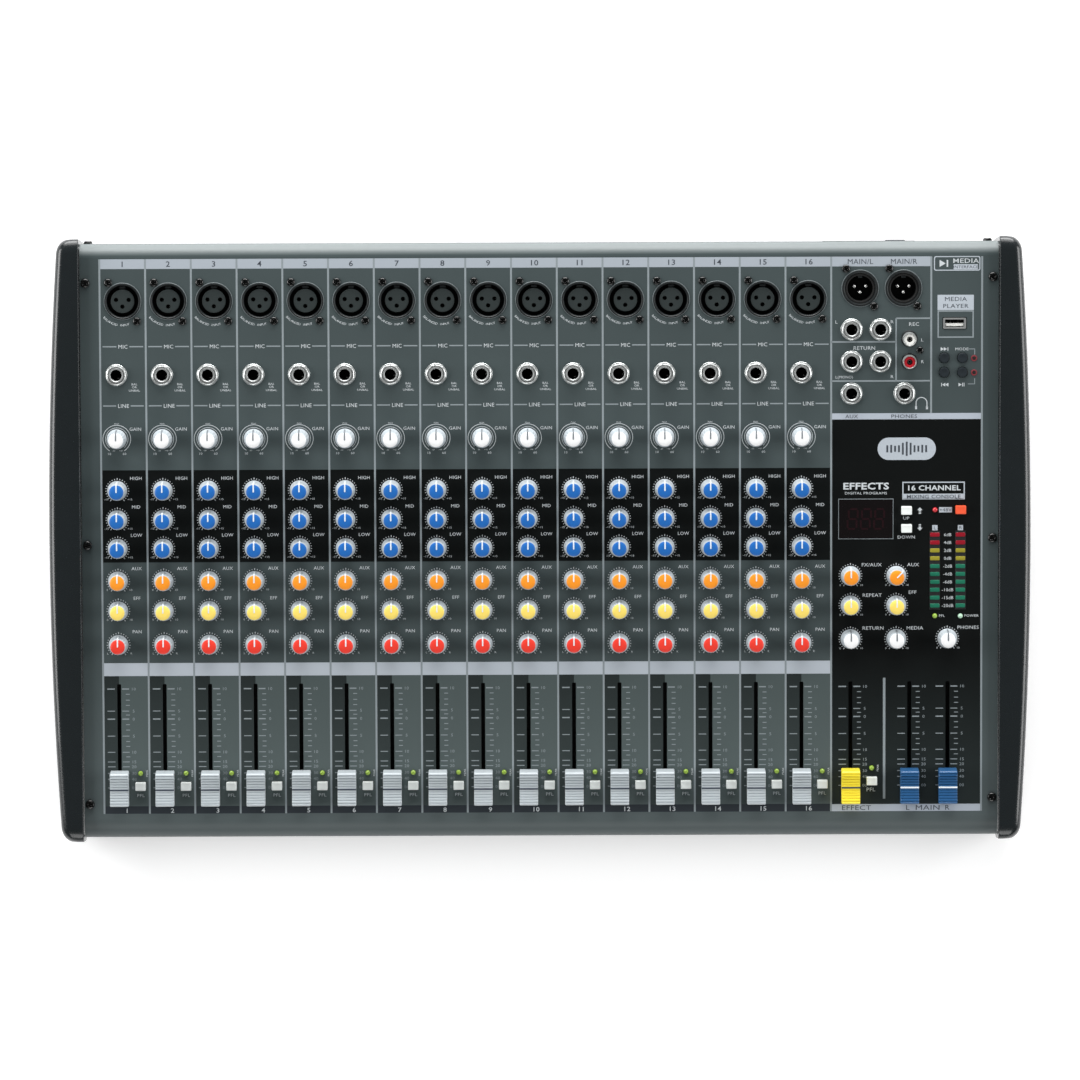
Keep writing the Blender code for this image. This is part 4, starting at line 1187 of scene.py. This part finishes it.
def rule_along(u, high, low, width=1.15):
    """A rule up the slope between two levels."""
    return line(u, (high + low) / 2, width, high - low)


def rule_across(v, left, right):
    """A rule across the slope between two edges."""
    return line((left + right) / 2, v, right - left, 0.9)


def print_lines():
    """The pale rules between the strips and round the master section's fields."""
    rules = [rule_along(strip(channel), HEADER[1], PRINT_BOTTOM) for channel in range(1, CHANNELS + 2)]
    printed("strip_rules", rules, "ink_light")
    short = []
    for channel in range(1, CHANNELS + 1):
        left, middle, right = strip(channel) + 1.5, strip(channel) + MIC_IN, strip(channel) + PITCH - 1.5
        for v, gap in ((118.4, 3.9), (82.5, 4.4)):
            before, after = middle - gap - left, right - middle - gap
            short += [line(left + before / 2, v, before, 0.75), line(right - after / 2, v, after, 0.75)]
    printed("socket_rules", short, "ink_light")
    rules = [
        rule_across(119.7, MASTER_LEFT, 215.6),
        rule_along(215.5, 133.9, 96.0, 0.9),
        rule_across(133.9, 215.5, MASTER_MIDDLE),
        rule_across(96.0, MASTER_LEFT, MASTER_MIDDLE),
        rule_along(MASTER_MIDDLE, HEADER[1], MASTER_BAND[1]),
        rule_along(MASTER_RIGHT, HEADER[1], MASTER_FOOT[0]),
        line(208.5, -121.7, 1.5, 74.0),
        frame_ink(*DISPLAY, 33.4, 24.6, 0.4),
        frame_ink(251.45, 130.3, 21.9, 16.6, 0.8),
        line(261.0, 115.2, 4.2, 0.45), line(263.0, 113.6, 0.45, 3.6),
        line(261.0, 94.0, 4.2, 0.45), line(263.0, 95.6, 0.45, 3.6),
    ]
    printed("master_rules", rules, "ink_light")


def knob_scale(u, v):
    """Short ticks round a knob, on a circle open at the bottom, with longer ones at its ends and middle."""
    radius, marks, span = 6.8, 23, 292.0
    ticks = []
    for k in range(marks):
        turn = 90.0 + span / 2 - span * k / (marks - 1)
        long = 1.1 if k in (0, marks // 2, marks - 1) else 0.7
        tick = block(radius + long / 2 - 0.3, 0.0, long, 0.5, *INK)
        ticks.append(moved(tick, u, v, 0.0, turn))
    return ticks


def print_knob_scales():
    """Ticks, arcs and small numbers round the knobs."""
    arcs = [arc_band(8.4, 0.34, -58.0, 238.0, *INK), arc_band(6.8, 0.30, -50.0, 230.0, *INK)]
    for row, (_, _, low, high) in ROW_PRINT.items():
        parts = []
        for channel in range(1, CHANNELS + 1):
            u, v = strip(channel) + CONTROLS_IN, ROW_V[row]
            if row == "gain":
                parts += [moved(arc, u, v) for arc in arcs]
                parts += [word(low, u - 4.6, v - 9.0, 1.35), word(high, u + 4.6, v - 9.0, 1.35)]
                parts += [word("-20", u - 1.9, v - 7.1, 0.8), word("+40", u + 2.4, v - 7.1, 0.8)]
                parts.append(word("PEAK", u, v + 9.2, 0.75))
            else:
                parts += knob_scale(u, v)
                parts += [word(low, u - 6.6, v - 5.4, 1.15), word(high, u + 7.6, v - 5.4, 1.15)]
        printed(f"{row}_scales", parts, "ink_white")
    parts = []
    for name in MASTER_LABELS:
        u, v = knob_axis(name)
        parts += knob_scale(u, v)
        parts += [word("0", u - 6.2, v - 5.8, 1.15), word("10", u + 6.6, v - 5.8, 1.15)]
    printed("master_scales", parts, "ink_white")


def print_fader_scales():
    """Ticks and numbers beside every slot."""
    ticks, numbers = [], []
    for name, u in fader_places():
        left = u - CONTROLS_IN
        for v, label in FADER_SCALE:
            bold = 0.75 if label in ("10", "0") and v > -110 else 0.5
            ticks += [line(left + 4.7, v, 4.6, bold), line(left + 13.5, v, 4.2, bold)]
            numbers.append(word(label, left + 18.3, v, 1.75))
        ticks += [line(left + 14.8, v, 2.4, 0.45) for v in FADER_MINOR]
    printed("fader_ticks", ticks, "ink_light")
    printed("fader_numbers", numbers, "ink_light")


def curved(text, u, v, radius, start, step, height):
    """Letters along a circle below its centre, read from the left: start and step are in degrees."""
    row = []
    for k, letter in enumerate(text):
        if letter != " ":
            angle = start + step * k
            along, up = radius * math.cos(math.radians(angle)), radius * math.sin(math.radians(angle))
            row.append(word(letter, u + along, v + up, height, angle + 90.0))
    return row


def print_labels():
    """Words and numbers on the channel strips."""
    numbers, foot, sockets, names, notes = [], [], [], [], []
    for channel in range(1, CHANNELS + 1):
        left = strip(channel)
        numbers.append(word(str(channel), left + MIC_IN, sum(HEADER) / 2, 3.3, weight=0.04))
        foot.append(word(str(channel), left + MIC_IN, sum(NUMBER_BAND) / 2 - 0.4, 2.7, weight=0.04))
        for label, v in (("MIC", 118.4), ("LINE", 82.5)):
            sockets.append(word(label, left + MIC_IN, v, 2.3, stretch=1.0))
        for row, (label, above, _, _) in ROW_PRINT.items():
            names.append(word(label, left + LABEL_IN, ROW_V[row] + above, 1.95, stretch=1.05))
        names.append(word("PFL", left + KEY_IN, -155.1, 1.9))
        notes += curved("BALANCED INPUT", left + MIC_IN - 0.6, MIC_V - 0.4, 14.0, 222.0, 5.0, 1.3)
        for label, v in (("BAL", 95.6), ("OR", 93.8), ("UNBAL", 91.8)):
            notes.append(word(label, left + LABEL_IN - 0.4, v, 1.25))
        notes.append(word("PEAK", left + 26.0, LISTEN_LED_V, 1.1, 90.0))
    printed("channel_numbers", numbers, "ink_dark")
    printed("foot_numbers", foot, "ink_white")
    printed("socket_names", sockets, "ink_white")
    printed("control_names", names, "ink_white")
    printed("socket_notes", notes, "ink_white")


def arrow(u, v, size, up):
    """A block arrow's outline with a short foot, pointing up or down."""
    scale = size if up else -size
    head = [[0.28, -0.25], [0.28, 0.1], [0.62, 0.1], [0.0, 0.75], [-0.62, 0.1], [-0.28, 0.1], [-0.28, -0.25]]
    foot = line(u, v - 0.6 * scale, 0.56 * size, 0.3 * size)
    return [prism(np.array(head) * scale + [u, v], *INK), foot]


def triangle(u, v, size, forward):
    """A transport triangle pointing right or left."""
    scale = size if forward else -size
    return prism(np.array([[-0.5, -0.6], [0.5, 0.0], [-0.5, 0.6]]) * scale + [u, v], *INK)


def print_master():
    """Words, boxes and signs of the master section."""
    header, band, foot = (sum(levels) / 2 for levels in (HEADER, MASTER_BAND, MASTER_FOOT))
    # What stands on a pale field is dark, a hair above it: word, u, v, height, stretch, weight, lift.
    dark = [
        ("MAIN/L", 193.8, header, 3.1, 1.05, 0.0, 0.0),
        ("MAIN/R", 220.1, header, 3.1, 1.05, 0.0, 0.0),
        ("AUX", 188.7, band, 2.2, 1.15, 0.0, 0.0),
        ("PHONES", 220.4, band, 2.2, 1.3, 0.0, 0.0),
        ("EFFECT", 191.6, foot, 2.9, 1.3, 0.0, 0.0),
        ("L", 222.8, foot, 3.0, 1.15, 0.0, 0.0),
        ("MAIN", 235.0, foot, 3.0, 1.4, 0.0, 0.0),
        ("R", 246.8, foot, 3.0, 1.15, 0.0, 0.0),
        ("INTERFACE", 257.5, 164.9, 1.7, 1.2, 0.0, 0.03),
        ("MEDIA", 251.45, 145.5, 2.5, 1.25, 0.0, 0.03),
        ("PLAYER", 251.45, 141.3, 2.5, 1.25, 0.0, 0.03),
        ("MIXING CONSOLE", 238.3, 25.7, 2.2, 1.2, 0.05, 0.03),
        ("+48V", 245.5, 17.6, 2.0, 1.15, 0.0, 0.03),
        ("L", METERS["left"], 6.7, 2.0, 1.15, 0.0, 0.03),
        ("R", METERS["right"], 6.7, 2.0, 1.15, 0.0, 0.03),
    ]
    dark = [word(text, u, v, height, 0.0, *rest) for text, u, v, height, *rest in dark]
    # On the coat: word, u, v, height, stretch, weight.
    white = [
        ("RETURN", 196.3, 116.0, 2.2, 1.1),
        ("REC", 226.3, 130.4, 2.1),
        ("L", 179.4, 131.8, 1.9),
        ("R", 213.0, 131.8, 1.9),
        ("R", 213.0, 98.6, 1.9),
        ("L", 231.2, 120.8, 1.9),
        ("R", 231.4, 107.6, 1.9),
        ("L(MONO)", 184.2, 98.4, 1.6, 1.05),
        ("MEDIA", 257.5, 168.6, 2.7, 1.35, 0.02),
        ("MODE", 255.2, 115.2, 1.7),
        ("EFFECTS", 197.3, 32.2, 3.9, 1.3, 0.16),
        ("DIGITAL PROGRAMS", 197.3, 27.9, 1.5, 1.25),
        ("16 CHANNEL", 238.3, 31.0, 3.0, 1.24, 0.10),
        ("UP", 221.7, 12.6, 1.9),
        ("DOWN", 221.8, 1.1, 1.9),
        ("PFL", 243.4, -46.9, 1.5),
        ("POWER", 261.3, -46.9, 1.5),
        ("PFL", 200.4, -153.0, 2.2),
    ]
    white += [(text, u, v, 2.05, 1.15) for text, u, v in MASTER_LABELS.values()]
    levels = ("6dB", "4dB", "2dB", "0dB", "-2dB", "-4dB", "-6dB", "-10dB", "-15dB", "-20dB")
    white += [(text, 246.85, METER_TOP_V - METER_STEP * row, 1.9, 1.05) for row, text in enumerate(levels)]
    white = [word(text, u, v, height, 0.0, *rest) for text, u, v, height, *rest in white]
    white.append(word("PEAK", 204.6, -139.8, 1.1, 90.0))

    # The phones sign, the player's signs and the arrows.
    white.append(moved(arc_band(3.3, 0.55, 0.0, 180.0, *INK), 230.9, 82.6))
    for u in (227.6, 234.2):
        white += [line(u, 81.0, 0.55, 3.2), line(u, 79.7, 1.2, 1.9)]
    white += [triangle(243.5, 167.0, 3.6, True), line(246.4, 167.0, 0.9, 4.2)]
    for u in (243.4, 245.3):
        white += [triangle(u, 115.2, 1.9, True), triangle(u + 0.9, 93.6, 1.9, False)]
    white.append(triangle(254.2, 93.6, 1.9, True))
    for u, v in ((246.8, 115.2), (243.0, 93.6), (255.7, 93.6), (256.6, 93.6)):
        white.append(line(u, v, 0.45, 2.2))
    white += arrow(230.0, 17.2, 2.6, True) + arrow(230.0, 6.9, 2.6, False)

    # Pale fields and frames, and a badge of sound bars.
    box = [rounded(28.0, 8.8, 1.2, 4) + [252.3, 167.0], rounded(26.8, 7.6, 0.8, 4) + [252.3, 167.0]]
    label = [rounded(14.8, 3.1, 0.4, 2) + [257.5, 164.9]]
    badge = [rounded(35.2, 13.6, 6.7, 10) + [222.0, 54.8]]
    pale = [cut_plate(outlines, *INK) for outlines in (box, label, badge)]
    pale += [line(251.45, 143.4, 21.9, 9.2), line(238.3, 25.7, 36.6, 3.4), line(245.5, 17.6, 7.8, 3.2)]
    pale += [line(u, 6.7, 3.2, 3.2) for u in METERS.values()] + [frame_ink(238.3, 29.3, 37.8, 10.8, 0.7)]
    for k in range(-5, 6):
        height = 8.6 * (0.30 + 0.70 * abs(math.cos(0.62 * k)) * math.exp(-0.05 * k * k))
        dark.append(line(222.0 + 2.35 * k, 54.8, 1.15, height, 0.03))
    printed("master_words", white, "ink_white")
    printed("master_dark_words", dark, "ink_dark")
    printed("master_fields", pale, "ink_strip")


# ---------------------------------------------------------------- stage


def make_stage():
    """A pale floor, large soft lights standing round the console, and the camera straight above it."""
    scene = bpy.context.scene
    paper = Finish("floor_paper", (240, 240, 240), 0.9)
    paper.tint(paper.noise(400.0), 0.005)
    paper.set("Emission Color", srgb(255, 255, 255))
    paper.set("Emission Strength", 0.35)
    points, corners, sizes = block(0.0, 0.0, 9000.0, 9000.0, -4.0, 0.0)
    mesh = bpy.data.meshes.new("floor")
    faces = [face.tolist() for face in np.split(corners, np.cumsum(sizes)[:-1])]
    mesh.from_pydata((points * MM).tolist(), [], faces)
    mesh.materials.append(paper.material)
    ground = bpy.data.objects.new("floor", mesh)
    scene.collection.objects.link(ground)

    world = bpy.data.worlds.new("studio")
    world.use_nodes = True
    world.node_tree.nodes["Background"].inputs["Color"].default_value = (1.0, 1.0, 1.0, 1.0)
    world.node_tree.nodes["Background"].inputs["Strength"].default_value = 0.07
    scene.world = world
    lamps = (
        ("soft_rear", (0.0, 2.1, 1.0), 2.4, 1.8, 50.0),
        ("strip_rear", (0.0, 1.5, 0.45), 2.0, 0.5, 26.0),
        ("soft_left", (-2.1, 0.2, 1.1), 1.6, 1.2, 42.0),
        ("soft_right", (2.1, 0.0, 1.1), 1.6, 1.2, 34.0),
        ("soft_front", (0.0, -2.1, 1.2), 1.6, 1.0, 16.0),
    )
    for name, spot, wide, high, power in lamps:
        light = bpy.data.lights.new(name, "AREA")
        light.shape = "RECTANGLE"
        light.size = wide
        light.size_y = high
        light.energy = power
        lamp = bpy.data.objects.new(name, light)
        lamp.location = spot
        across, along, up = spot
        lamp.rotation_euler = (math.atan2(math.hypot(across, along), up), 0.0, math.atan2(across, -along))
        scene.collection.objects.link(lamp)

    camera = bpy.data.cameras.new("camera")
    distance, width = 4.7, 0.654
    camera.lens = camera.sensor_width * distance / width
    camera.clip_end = 20.0
    eye = bpy.data.objects.new("camera", camera)
    eye.location = (0.0, 0.0001, PANEL_Z * MM + distance)
    eye.rotation_euler = (0.0, 0.0, math.radians(-0.21))
    scene.collection.objects.link(eye)
    scene.camera = eye
    scene.view_settings.view_transform = "Standard"


make_panel()
make_cheeks()
make_knobs()
make_faders()
make_keys()
make_lamps()
make_sockets()
make_media_socket()
make_screws()
make_display()
make_meters()
make_body()
print_lines()
print_knob_scales()
print_fader_scales()
print_labels()
print_master()
make_stage()
